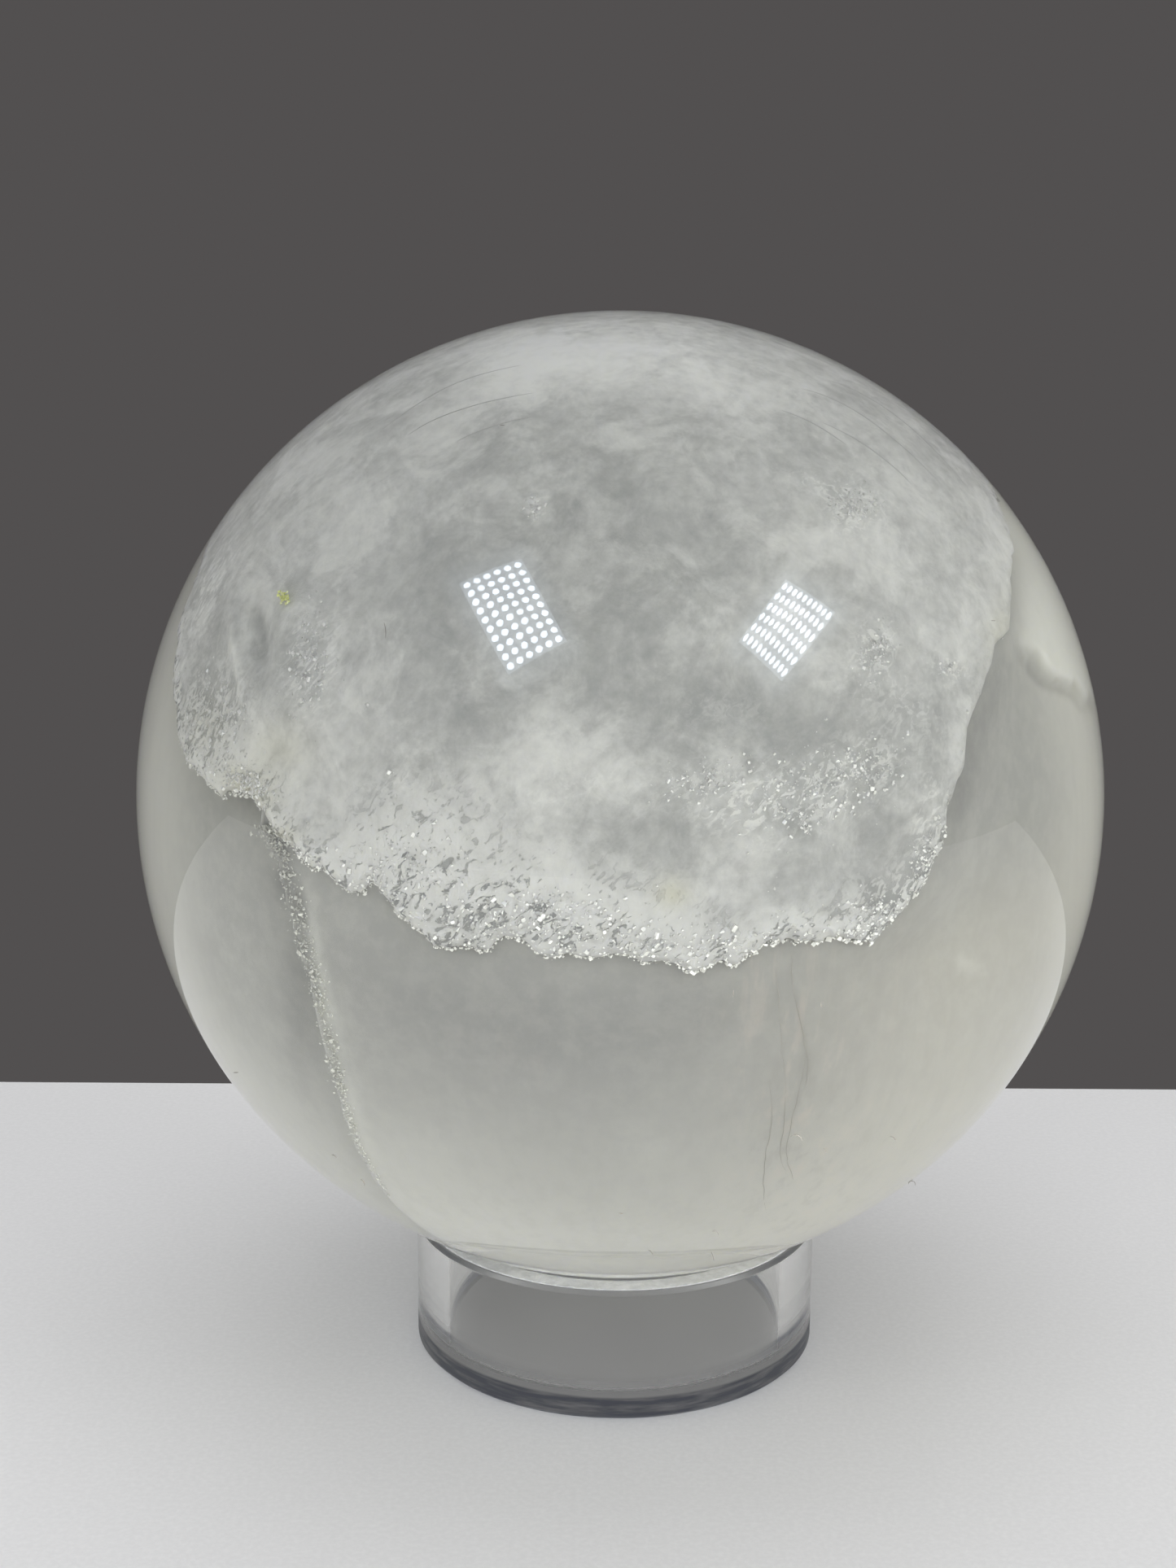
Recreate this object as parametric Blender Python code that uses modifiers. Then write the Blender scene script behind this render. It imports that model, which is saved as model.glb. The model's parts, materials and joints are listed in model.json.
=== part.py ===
"""A fluorite ball, ground round and polished, resting on a clear acrylic cup stand.

Units are metres and +Z is up. The origin is on the table, where the stand's axis
meets its underside. The ball only rests on the stand's inner top edge, and it can
be lifted off.
"""

import math

import bpy

# Driving dimensions
BALL_DIAMETER = 0.117
STAND_DIAMETER = 0.0508
STAND_HEIGHT = 0.0165
STAND_WALL = 0.0040
STAND_FLOOR = 0.0025
RIM_CHAMFER = 0.0004
FOOT_CHAMFER = 0.0005
SEAT_GAP = 0.0003

# How finely the round shapes are divided
BALL_SEGMENTS = 88
BALL_RINGS = 44
STAND_STEPS = 96
MERGE_DISTANCE = 0.00001
SHARP_ANGLE = math.radians(30)

# Finishes: colour, roughness, transmission and index of refraction
FLUORITE_COLOUR = (0.72, 0.73, 0.69, 1.0)
FLUORITE_ROUGHNESS = 0.05
FLUORITE_TRANSMISSION = 0.35
FLUORITE_IOR = 1.434
ACRYLIC_COLOUR = (0.90, 0.91, 0.95, 1.0)
ACRYLIC_ROUGHNESS = 0.08
ACRYLIC_TRANSMISSION = 0.9
ACRYLIC_IOR = 1.49


def clear_scene():
    """Remove whatever the file starts with."""
    for obj in list(bpy.data.objects):
        bpy.data.objects.remove(obj, do_unlink=True)


def make_collection(name):
    """Make a collection for the finished parts and link it to the scene."""
    collection = bpy.data.collections.new(name)
    bpy.context.scene.collection.children.link(collection)
    return collection


def make_material(name, colour, roughness, transmission, ior):
    """Make a see-through Principled material."""
    material = bpy.data.materials.new(name)
    material.use_nodes = True
    shader = material.node_tree.nodes["Principled BSDF"]
    shader.inputs["Base Color"].default_value = colour
    shader.inputs["Metallic"].default_value = 0.0
    shader.inputs["Roughness"].default_value = roughness
    shader.inputs["Transmission Weight"].default_value = transmission
    shader.inputs["IOR"].default_value = ior
    return material


def seat_radius():
    """Radius of the circle on which the ball touches the rim: the chamfer's upper edge."""
    return STAND_DIAMETER / 2 - STAND_WALL + RIM_CHAMFER


def ball_centre_height():
    """Height at which a ball of this size sits in the rim, with the gap left under it."""
    ball_radius = BALL_DIAMETER / 2
    rise = math.sqrt(ball_radius ** 2 - seat_radius() ** 2)
    return STAND_HEIGHT + rise + SEAT_GAP


def make_ball(collection):
    """The stone itself: one ball, as it was ground and polished."""
    bpy.ops.mesh.primitive_uv_sphere_add(
        segments=BALL_SEGMENTS,
        ring_count=BALL_RINGS,
        radius=BALL_DIAMETER / 2,
        location=(0.0, 0.0, ball_centre_height()),
    )
    ball = bpy.context.object
    ball.name = "fluorite_sphere"
    ball.data.name = "fluorite_sphere"
    for home in list(ball.users_collection):
        home.objects.unlink(ball)
    collection.objects.link(ball)
    ball.data.shade_smooth()
    ball.data.materials.append(
        make_material(
            "fluorite", FLUORITE_COLOUR, FLUORITE_ROUGHNESS, FLUORITE_TRANSMISSION, FLUORITE_IOR
        )
    )
    return ball


def stand_profile():
    """Half section of the stand: out over its floor, up inside, over the rim, down outside."""
    outer = STAND_DIAMETER / 2
    inner = outer - STAND_WALL
    return [
        (0.0, STAND_FLOOR),
        (inner, STAND_FLOOR),
        (inner, STAND_HEIGHT - RIM_CHAMFER),
        (inner + RIM_CHAMFER, STAND_HEIGHT),
        (outer - RIM_CHAMFER, STAND_HEIGHT),
        (outer, STAND_HEIGHT - RIM_CHAMFER),
        (outer, FOOT_CHAMFER),
        (outer - FOOT_CHAMFER, 0.0),
        (0.0, 0.0),
    ]


def apply_modifiers(obj):
    """Give the object the mesh that its modifiers make, and take the modifiers off."""
    evaluated = obj.evaluated_get(bpy.context.evaluated_depsgraph_get())
    section = obj.data
    obj.data = bpy.data.meshes.new_from_object(evaluated)
    obj.data.name = section.name
    obj.modifiers.clear()
    bpy.data.meshes.remove(section)


def make_stand(collection):
    """The stand: a short clear cup, turned from its half section."""
    points = stand_profile()
    section = bpy.data.meshes.new("acrylic_stand")
    section.from_pydata(
        [(radius, 0.0, height) for radius, height in points],
        [(i, i + 1) for i in range(len(points) - 1)],
        [],
    )
    stand = bpy.data.objects.new("acrylic_stand", section)
    collection.objects.link(stand)
    turn = stand.modifiers.new("turned", "SCREW")
    turn.axis = "Z"
    turn.angle = math.tau
    turn.steps = STAND_STEPS
    turn.render_steps = STAND_STEPS
    turn.use_merge_vertices = True
    turn.merge_threshold = MERGE_DISTANCE
    apply_modifiers(stand)
    stand.data.shade_smooth()
    stand.data.set_sharp_from_angle(angle=SHARP_ANGLE)
    stand.data.materials.append(
        make_material(
            "acrylic", ACRYLIC_COLOUR, ACRYLIC_ROUGHNESS, ACRYLIC_TRANSMISSION, ACRYLIC_IOR
        )
    )
    return stand


clear_scene()
parts = make_collection("fluorite_sphere_on_stand")
make_stand(parts)
make_ball(parts)
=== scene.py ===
# %% [markdown]
# # A fluorite ball on its clear stand
# The object is one piece of fluorite, ground to a ball and polished, that rests in the rim
# of a low clear acrylic cup. Nearly everything worth seeing is inside the stone: a milky
# cloud that ends in a ragged, sugary edge, a paler haze under it, and one long crack.
# The plan is to leave the two measured solids where they are, to dress each with a finer
# mesh, and to build what the stone holds as real shapes under a clear polished skin.

# %% Load the frame
import json
import math

import bpy
import numpy as np
from mathutils import Matrix, Vector, noise

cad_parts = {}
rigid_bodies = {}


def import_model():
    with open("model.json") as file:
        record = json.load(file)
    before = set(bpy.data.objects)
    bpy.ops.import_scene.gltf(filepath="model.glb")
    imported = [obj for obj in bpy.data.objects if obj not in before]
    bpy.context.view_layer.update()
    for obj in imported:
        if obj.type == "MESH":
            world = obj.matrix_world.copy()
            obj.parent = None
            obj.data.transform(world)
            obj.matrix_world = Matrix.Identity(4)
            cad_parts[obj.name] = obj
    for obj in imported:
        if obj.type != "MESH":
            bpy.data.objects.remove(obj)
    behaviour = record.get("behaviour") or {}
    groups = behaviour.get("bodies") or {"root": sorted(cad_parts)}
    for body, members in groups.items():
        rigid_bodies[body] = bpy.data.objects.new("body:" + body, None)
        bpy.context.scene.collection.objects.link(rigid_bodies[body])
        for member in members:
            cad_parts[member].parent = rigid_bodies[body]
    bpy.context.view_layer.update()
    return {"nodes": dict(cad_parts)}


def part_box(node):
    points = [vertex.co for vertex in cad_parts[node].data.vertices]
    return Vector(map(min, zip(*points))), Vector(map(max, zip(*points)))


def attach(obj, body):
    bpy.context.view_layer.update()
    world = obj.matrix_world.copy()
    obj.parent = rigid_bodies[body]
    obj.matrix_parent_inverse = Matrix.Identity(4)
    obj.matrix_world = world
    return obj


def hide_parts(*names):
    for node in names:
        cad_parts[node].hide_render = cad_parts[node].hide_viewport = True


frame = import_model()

BODY = "root"
print("measured nodes:", sorted(frame["nodes"]))

# %% [markdown]
# ## Read the sizes
# The ball's centre and radius, and the stand's sizes, come from the measured solids, so
# every later shape is worked out from them and nothing has to be fitted afterwards.

# %% Ball and stand sizes
ball_low, ball_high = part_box("fluorite_sphere")
stand_low, stand_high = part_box("acrylic_stand")
BALL_RADIUS = (ball_high.x - ball_low.x) / 2
BALL_CENTRE = (ball_low + ball_high) / 2
STAND_RADIUS = (stand_high.x - stand_low.x) / 2
STAND_HEIGHT = stand_high.z
print("ball radius", round(BALL_RADIUS, 5), "centre", [round(v, 5) for v in BALL_CENTRE])
print("stand radius", round(STAND_RADIUS, 5), "height", round(STAND_HEIGHT, 5))

# %% [markdown]
# ## The camera
# The camera stands where the picture was taken from: a little above the ball, looking down
# at it. Its place was found once from the ball's outline and the stand's edges. It comes
# first because the marks inside the stone are placed by looking along its sight lines.

# %% Camera
PHOTO_WIDTH = 1445
PHOTO_HEIGHT = 1927
FOCAL_PIXELS = 2869.0
SENSOR = 36.0
CAMERA_PLACE = Vector((-0.00383, -0.28008, 0.13868))
CAMERA_PITCH = math.radians(13.33)
CAMERA_ROLL = math.radians(0.37)

camera_tilt = Matrix.Rotation(math.pi / 2 - CAMERA_PITCH, 3, "X")
camera_turn = camera_tilt @ Matrix.Rotation(CAMERA_ROLL, 3, "Z")
camera_data = bpy.data.cameras.new("camera")
camera_data.sensor_width = SENSOR
camera_data.lens = FOCAL_PIXELS * SENSOR / PHOTO_HEIGHT
camera_data.clip_start = 0.01
camera_data.clip_end = 10.0
camera = bpy.data.objects.new("camera", camera_data)
camera.location = CAMERA_PLACE
camera.rotation_euler = camera_turn.to_euler()
bpy.context.scene.collection.objects.link(camera)
bpy.context.scene.camera = camera
print("lens", round(camera_data.lens, 2), "mm")

# %% [markdown]
# ## Looking into a clear ball
# Light bends as it enters the polished surface, so a mark inside the ball isn't straight
# behind the spot where it shows. These helpers follow a line of sight through a pixel to
# the skin, bend it by the stone's index of refraction and go on to a chosen depth.
# Directions from the ball's centre are then given like places on a globe: longitude from
# the front, to the right, and latitude up from the middle.

# %% Sight lines
FLUORITE_IOR = 1.434


def sight_line(px, py):
    """Start and direction of the camera's line of sight through a pixel of the picture."""
    across = (px - PHOTO_WIDTH / 2) / FOCAL_PIXELS
    up = (PHOTO_HEIGHT / 2 - py) / FOCAL_PIXELS
    return CAMERA_PLACE.copy(), (camera_turn @ Vector((across, up, -1.0))).normalized()


def meet_sphere(start, along, radius):
    """First point where a line meets a sphere round the ball's centre, or its nearest point."""
    to_centre = start - BALL_CENTRE
    half_b = to_centre.dot(along)
    gap = half_b ** 2 - (to_centre.length_squared - radius ** 2)
    return start + along * (-half_b - math.sqrt(max(gap, 0.0)))


def bend_inward(along, normal):
    """Direction of a line of sight after it enters the stone."""
    ratio = 1.0 / FLUORITE_IOR
    cos_in = -normal.dot(along)
    cos_out = math.sqrt(1.0 - ratio ** 2 * (1.0 - cos_in ** 2))
    return (along * ratio + normal * (ratio * cos_in - cos_out)).normalized()


def look_into(px, py, depth):
    """Direction from the ball's centre of what shows at a pixel, at a share of its radius."""
    start, along = sight_line(px, py)
    skin = meet_sphere(start, along, BALL_RADIUS)
    inside = bend_inward(along, (skin - BALL_CENTRE).normalized())
    return (meet_sphere(skin, inside, depth * BALL_RADIUS) - BALL_CENTRE).normalized()


def globe_place(direction):
    """Longitude from the front and latitude of a direction, in degrees."""
    longitude = math.degrees(math.atan2(direction[0], -direction[1]))
    return longitude, math.degrees(math.asin(max(-1.0, min(1.0, direction[2]))))


def globe_places(pixels, depth):
    """Places on the globe for a list of pixels, at one depth."""
    return [globe_place(look_into(px, py, depth)) for px, py in pixels]


middle_place = globe_place(look_into(762, 977, 0.95))
print("the middle of the ball shows the place", [round(v, 1) for v in middle_place])

# %% [markdown]
# ## Many places at once
# The stone's zones have a great many points, so the same sums are also needed for whole
# arrays: from places on the globe to directions, back again, and from directions to points
# at a chosen share of the ball's radius.

# %% Arrays of places
def directions(longitude, latitude):
    """Unit vectors for arrays of longitudes and latitudes in degrees."""
    lon, lat = np.radians(longitude), np.radians(latitude)
    return np.stack([np.sin(lon) * np.cos(lat), -np.cos(lon) * np.cos(lat), np.sin(lat)], axis=-1)


def globe_arrays(outward):
    """Longitudes and latitudes, in degrees, of an array of unit vectors."""
    longitude = np.degrees(np.arctan2(outward[..., 0], -outward[..., 1]))
    return longitude, np.degrees(np.arcsin(outward[..., 2]))


def at_depth(outward, depth):
    """Points at a share of the ball's radius, along directions from its centre."""
    return np.array(BALL_CENTRE) + outward * np.asarray(depth)[..., None] * BALL_RADIUS


print("the front of the ball is at", at_depth(directions(0.0, 0.0), 1.0).round(4))

# %% [markdown]
# ## Soft steps, lumps and patches
# A smooth step and a lumpy noise are enough to shape natural edges. Soft ovals lie where
# the picture shows a patch: each is a pixel, two half sizes, a turn in degrees and a
# strength, and together they steer both the tone and the relief of a surface.

# %% Soft shapes
LUMP_FADE = 1.0
LUMP_SHRINK = 2.0


def smooth_step(low, high, values):
    """0 below low, 1 above high and a soft rise between them."""
    t = np.clip((values - low) / (high - low), 0.0, 1.0)
    return t * t * (3.0 - 2.0 * t)


def rise_and_fall(rise, fall, values):
    """0, then up to 1 over the first range and back to 0 over the second."""
    return smooth_step(*rise, values) * (1.0 - smooth_step(*fall, values))


def lumpy(points, size, octaves, shift):
    """Layered noise from about -1 to 1 at each point; size is that of the largest lumps."""
    offset = Vector((shift, 2.0 * shift, -shift))
    flat = []
    for point in points.reshape(-1, 3):
        flat.append(noise.fractal(Vector(point) / size + offset, LUMP_FADE, LUMP_SHRINK, octaves))
    return np.array(flat).reshape(points.shape[:-1])


def soft_patches(outward, marks, depth):
    """Sum of soft ovals seen through the skin, for an array of directions."""
    total = np.zeros(outward.shape[:-1])
    for px, py, half_wide, half_high, turn, strength in marks:
        cosine, sine = math.cos(math.radians(turn)), math.sin(math.radians(turn))
        centre = np.array(look_into(px, py, depth))
        along = np.array(look_into(px + cosine * half_wide, py + sine * half_wide, depth)) - centre
        across = np.array(look_into(px - sine * half_high, py + cosine * half_high, depth)) - centre
        spread = (outward - centre) @ np.linalg.pinv(np.stack([along, across], axis=1)).T
        facing = smooth_step(0.2, 0.6, outward @ centre)
        total += strength * facing * np.exp(-np.sum(spread ** 2, axis=-1))
    return total


print("a soft step, a third of the way up:", smooth_step(0.0, 3.0, np.array(1.0)).round(3))

# %% [markdown]
# ## Closed meshes
# Each zone of the stone is a closed skin, so that its inside is solid to the renderer. It
# is built from rings of points that run from one pole of the shape to the other. A number
# painted on each point, such as how sugary it is there, is what the finishes read later.

# %% Mesh helpers
def ring_values(rings):
    """One value for each point of a closed skin, from an array with a row for each ring."""
    return np.concatenate([rings[0][:1], rings[1:-1].ravel(), rings[-1][:1]])


def add_mesh(name, points, faces):
    """A smooth mesh object in the scene."""
    mesh = bpy.data.meshes.new(name)
    mesh.from_pydata(points.tolist(), [], faces)
    mesh.shade_smooth()
    piece = bpy.data.objects.new(name, mesh)
    bpy.context.scene.collection.objects.link(piece)
    return piece


def closed_skin(name, rings):
    """A closed mesh from rings of points; the first and last rings are single points."""
    inner = rings[1:-1]
    count, around = inner.shape[0], inner.shape[1]
    points = np.concatenate([rings[0][:1], inner.reshape(-1, 3), rings[-1][:1]])
    step = np.arange(around)
    beside = (step + 1) % around
    faces = np.stack([np.zeros_like(step), 1 + step, 1 + beside], axis=1).tolist()
    for ring in range(count - 1):
        start = 1 + ring * around
        below = start + around
        faces += np.stack([start + step, below + step, below + beside, start + beside], axis=1).tolist()
    last = 1 + (count - 1) * around
    bottom = np.full_like(step, len(points) - 1)
    faces += np.stack([last + step, bottom, last + beside], axis=1).tolist()
    return add_mesh(name, points, faces)


def paint(piece, name, values):
    """Store one number for each point of a mesh, for its material to read."""
    layer = piece.data.attributes.new(name, "FLOAT", "POINT")
    layer.data.foreach_set("value", np.ascontiguousarray(values, dtype=np.float32).ravel())


print("three rings of 8 close to", len(ring_values(np.zeros((3, 8)))), "points")

# %% [markdown]
# ## Helpers for materials
# Each finish is a tree of nodes. These helpers add one node, set its numbers and join it
# up, so that a finish below reads as a short recipe. The first few only do sums: they add,
# weigh, ease and mix what other nodes give.

# %% Sums in a material
class Sums:
    """A material under construction, with short calls for the sums that it needs."""

    def __init__(self, name):
        self.material = bpy.data.materials.new(name)
        self.material.use_nodes = True
        self.tree = self.material.node_tree
        self.shader = self.tree.nodes["Principled BSDF"]
        self.output = self.tree.nodes["Material Output"]
        self.place = self.add("ShaderNodeTexCoord").outputs["Object"]

    def add(self, kind, **settings):
        node = self.tree.nodes.new(kind)
        for key, value in settings.items():
            setattr(node, key, value)
        return node

    def join(self, value, socket):
        """Put a number, a colour or another node's output into a socket."""
        if isinstance(value, bpy.types.NodeSocket):
            self.tree.links.new(value, socket)
        else:
            socket.default_value = value

    def math(self, operation, first, second=0.0):
        node = self.add("ShaderNodeMath", operation=operation)
        self.join(first, node.inputs[0])
        self.join(second, node.inputs[1])
        return node.outputs[0]

    def total(self, *parts):
        """Weighted sum of pairs of a value and its weight."""
        result = 0.0
        for value, weight in parts:
            result = self.math("ADD", self.math("MULTIPLY", value, weight), result)
        return result

    def ease(self, value, low, high, to_low=0.0, to_high=1.0):
        """Smooth change from one number to another while the value crosses a range."""
        node = self.add("ShaderNodeMapRange", interpolation_type="SMOOTHSTEP")
        self.join(value, node.inputs["Value"])
        node.inputs["From Min"].default_value = low
        node.inputs["From Max"].default_value = high
        node.inputs["To Min"].default_value = to_low
        node.inputs["To Max"].default_value = to_high
        return node.outputs["Result"]

    def mix(self, amount, first, second):
        """Blend of two colours."""
        node = self.add("ShaderNodeMix", data_type="RGBA")
        self.join(amount, node.inputs[0])
        self.join(first, node.inputs[6])
        self.join(second, node.inputs[7])
        return node.outputs[2]


print("sums:", [name for name in vars(Sums) if not name.startswith("_")])

# %% [markdown]
# ## Patterns
# Every pattern is worked out in the object's own space, in metres, so it stays where it is
# when the stone is turned or seen from elsewhere. A slanted pattern is a plain noise read
# at places that are turned and stretched first.

# %% Patterns in a material
class Patterns(Sums):
    """Adds what varies from place to place."""

    def noise(self, scale, detail=4.0, roughness=0.55, place=None, distortion=0.0):
        node = self.add("ShaderNodeTexNoise")
        self.join(place or self.place, node.inputs["Vector"])
        node.inputs["Scale"].default_value = scale
        node.inputs["Detail"].default_value = detail
        node.inputs["Roughness"].default_value = roughness
        node.inputs["Distortion"].default_value = distortion
        return node.outputs["Fac"]

    def turned(self, turn, stretch):
        """The place, turned about Y and stretched, so that a pattern runs along a slant."""
        node = self.add("ShaderNodeMapping", vector_type="TEXTURE")
        self.join(self.place, node.inputs["Vector"])
        node.inputs["Rotation"].default_value = (0.0, math.radians(turn), 0.0)
        node.inputs["Scale"].default_value = [1.0 / part for part in stretch]
        return node.outputs[0]

    def painted(self, name):
        """The number that was painted on the mesh under this name."""
        return self.add("ShaderNodeAttribute", attribute_name=name).outputs["Fac"]

    def height(self):
        node = self.add("ShaderNodeSeparateXYZ")
        self.join(self.place, node.inputs[0])
        return node.outputs["Z"]

    def from_axis(self):
        """Distance from the stand's upright axis."""
        flat = self.add("ShaderNodeVectorMath", operation="MULTIPLY")
        self.join(self.place, flat.inputs[0])
        flat.inputs[1].default_value = (1.0, 1.0, 0.0)
        length = self.add("ShaderNodeVectorMath", operation="LENGTH")
        self.join(flat.outputs["Vector"], length.inputs[0])
        return length.outputs["Value"]


print("patterns:", [name for name in vars(Patterns) if not name.startswith("_")])

# %% [markdown]
# ## Surfaces
# The last helpers set the shader itself. Real glass lets lamplight through to what lies
# behind it, but a renderer treats a clear surface as a screen for the lamps. So shadow rays
# are given a plain see-through surface instead. A clear body also takes up a little light
# on the way through it, which is a faint absorption inside the closed mesh.

# %% Surface of a material
class Recipe(Patterns):
    """Adds the surface itself and the clear body behind it."""

    def bump(self, height, distance):
        node = self.add("ShaderNodeBump")
        self.join(height, node.inputs["Height"])
        node.inputs["Distance"].default_value = distance
        self.tree.links.new(node.outputs["Normal"], self.shader.inputs["Normal"])

    def set(self, **values):
        """Set the shader's own sockets, named with underscores for spaces."""
        for key, value in values.items():
            self.join(value, self.shader.inputs[key.replace("_", " ")])

    def let_lamps_through(self, tint):
        """Let lamplight reach what lies behind the clear surface, as real glass does."""
        path = self.add("ShaderNodeLightPath")
        clear = self.add("ShaderNodeBsdfTransparent")
        clear.inputs["Color"].default_value = tint
        mixer = self.add("ShaderNodeMixShader")
        self.tree.links.new(path.outputs["Is Shadow Ray"], mixer.inputs[0])
        self.tree.links.new(self.shader.outputs[0], mixer.inputs[1])
        self.tree.links.new(clear.outputs[0], mixer.inputs[2])
        self.tree.links.new(mixer.outputs[0], self.output.inputs["Surface"])

    def tint_depth(self, colour, density):
        """A faint body colour that deepens with the way light goes through the piece."""
        absorb = self.add("ShaderNodeVolumeAbsorption")
        absorb.inputs["Color"].default_value = colour
        absorb.inputs["Density"].default_value = density
        self.tree.links.new(absorb.outputs[0], self.output.inputs["Volume"])


print("surfaces:", [name for name in vars(Recipe) if not name.startswith("_")])

# %% [markdown]
# ## The polished skin
# The real surface is bare polished stone: a true sphere with a glassy finish. A fine UV
# sphere with smooth shading makes it, in place of the coarser solid. Its material is clear
# with fluorite's low index of refraction, and only a trace of hazing from polishing.

# %% Polished skin
SKIN_SEGMENTS = 256
SKIN_RINGS = 128
SKIN_TINT = (0.93, 0.95, 0.86, 1.0)
SKIN_TINT_DENSITY = 6.0


def polished_finish():
    """Clear stone under a polish with hardly any wear."""
    recipe = Recipe("polished_fluorite")
    wear = recipe.noise(900.0, 3.0, 0.6)
    recipe.set(
        Base_Color=(1.0, 1.0, 1.0, 1.0),
        Metallic=0.0,
        Roughness=recipe.ease(wear, 0.45, 0.8, 0.0015, 0.006),
        IOR=FLUORITE_IOR,
        Transmission_Weight=1.0,
    )
    recipe.tint_depth(SKIN_TINT, SKIN_TINT_DENSITY)
    recipe.let_lamps_through((0.96, 0.97, 0.93, 1.0))
    return recipe.material


def make_ball_skin():
    """The polished ball, in place of the measured one."""
    latitudes = np.linspace(90.0, -90.0, SKIN_RINGS + 1)
    longitudes = np.arange(SKIN_SEGMENTS) * 360.0 / SKIN_SEGMENTS
    lon, lat = np.meshgrid(longitudes, latitudes)
    skin = closed_skin("polished_skin", at_depth(directions(lon, lat), 1.0))
    skin.data.materials.append(polished_finish())
    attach(skin, BODY)
    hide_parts("fluorite_sphere")
    return skin


skin = make_ball_skin()
print("polished skin:", len(skin.data.polygons), "faces")

# %% [markdown]
# ## The milky zone
# The cloud fills the upper part of the ball and ends in a ragged edge that runs round the
# stone a little below its middle. On the right it breaks off along a steep, sharp cliff.
# The shape is like a relief globe with a single continent: rings run down from the top to
# the edge, over a rounded lip and back up inside. The edge in front follows the picture,
# and round the back it goes on as the same wavy, nearly level break.

# %% Edge of the milky zone
MILK_DEPTH = 0.952
MILK_EDGE_PIXELS = [
    (300, 570), (280, 600), (262, 640), (250, 680), (236, 725), (217, 771), (209, 835),
    (213, 882), (229, 930), (269, 965), (312, 993), (340, 1032), (390, 1073), (436, 1105),
    (455, 1096), (500, 1141), (566, 1166), (657, 1168), (719, 1178), (799, 1181), (850, 1195),
    (938, 1164), (993, 1156), (1044, 1154), (1076, 1159), (1120, 1120), (1145, 1082),
    (1161, 1048), (1166, 993), (1187, 944), (1191, 900), (1212, 845), (1226, 793), (1243, 770),
    (1244, 707), (1245, 670), (1240, 645), (1230, 620),
]
MILK_EDGE_BEHIND = [
    (90, 42), (112, 45), (128, 26), (142, 10), (165, -6), (200, 3), (235, -6), (252, 24),
]
RAGGED_SIZE = 0.006
RAGGED_DEGREES = 1.7
CLIFF_START = (36.0, 42.0)
CLIFF_END = (64.0, 70.0)
CLIFF_CALM = 0.7


def edge_latitude(longitudes):
    """Latitude at which the milky zone ends, ragged as it broke and grew."""
    places = globe_places(MILK_EDGE_PIXELS, MILK_DEPTH) + MILK_EDGE_BEHIND
    known = sorted((lon % 360.0, lat) for lon, lat in places)
    around = longitudes % 360.0
    edge = np.interp(around, [p[0] for p in known], [p[1] for p in known], period=360.0)
    teeth = lumpy(directions(longitudes, edge) * BALL_RADIUS, RAGGED_SIZE, 6, 3.1)
    calm = CLIFF_CALM * rise_and_fall(CLIFF_START, CLIFF_END, around)
    return edge + RAGGED_DEGREES * (1.0 - calm) * teeth


whole_edge = edge_latitude(np.arange(0.0, 360.0))
print("the edge runs from", whole_edge.min().round(1), "to", whole_edge.max().round(1), "degrees")

# %% [markdown]
# ## Relief and tone of the milky zone
# Inside the zone the cloud comes and goes: it is thin and deep in the middle, where it looks grey, and
# dense and white along its edge. It is also white towards the top, and there and at the sides it is
# painted whiter still, which is painted light. A few soft ovals set the tone, and others sink the
# surface or raise folds. Snow is where it is sugary and opaque, frost where loose flakes show in
# clearer stone, and stains are a little yellow. Noise does all of the smaller detail.

# %% Marks on the milky zone
MILK_TONE_MARKS = [
    (700, 445, 130, 50, -8, 0.60), (885, 478, 60, 30, 5, 0.40), (430, 600, 100, 100, -40, 0.22),
    (1060, 560, 60, 170, -42, 0.22), (1215, 720, 50, 100, 0, 0.15), (1135, 900, 38, 140, 18, -0.08),
    (455, 1035, 75, 50, -20, 0.25), (640, 1050, 90, 50, 0, 0.28), (760, 1110, 90, 35, 5, 0.25),
    (900, 1155, 95, 30, -5, 0.20), (345, 680, 45, 70, 10, 0.15), (335, 900, 60, 50, 0, 0.10),
    (650, 940, 120, 40, -25, 0.12), (945, 800, 70, 30, -10, 0.15), (740, 690, 190, 160, 0, -0.34),
    (560, 760, 110, 90, -30, -0.16), (620, 850, 150, 50, -30, -0.16), (920, 880, 200, 60, 12, -0.42),
    (880, 905, 110, 45, 12, -0.08), (1010, 555, 70, 35, 35, -0.25), (775, 1020, 85, 40, 0, -0.30),
    (1095, 1095, 50, 60, 20, -0.30), (316, 775, 8, 34, -6, -0.60), (250, 800, 35, 60, 20, -0.20),
    (440, 1108, 55, 16, -12, -0.20), (600, 1122, 100, 12, 0, -0.18), (500, 1075, 10, 40, 25, -0.25),
    (288, 800, 6, 52, -14, 0.50), (600, 520, 60, 30, -30, -0.20), (800, 560, 120, 22, 20, 0.18),
    (300, 975, 14, 12, 0, -0.40), (980, 990, 60, 40, -20, -0.10),
]
MILK_RELIEF_MARKS = [
    (740, 690, 200, 170, 0, -0.018), (920, 880, 180, 50, 12, -0.008), (318, 778, 14, 40, -6, -0.030),
    (288, 785, 7, 55, -8, 0.012), (352, 720, 40, 60, 10, 0.010), (345, 850, 40, 40, 0, 0.008),
    (1150, 860, 18, 150, 18, 0.010), (250, 850, 30, 50, 20, -0.014),
]
SNOW_MARKS = [
    (480, 1070, 90, 60, -30, 1.3), (640, 1120, 110, 50, 0, 1.2), (800, 1150, 110, 35, 5, 0.7),
    (1070, 1125, 60, 35, -20, 0.5), (250, 890, 40, 50, 20, 0.6), (300, 960, 40, 25, 30, 1.2),
    (365, 1060, 30, 25, 30, 0.9), (1150, 1060, 20, 45, 15, 0.6),
]
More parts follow.
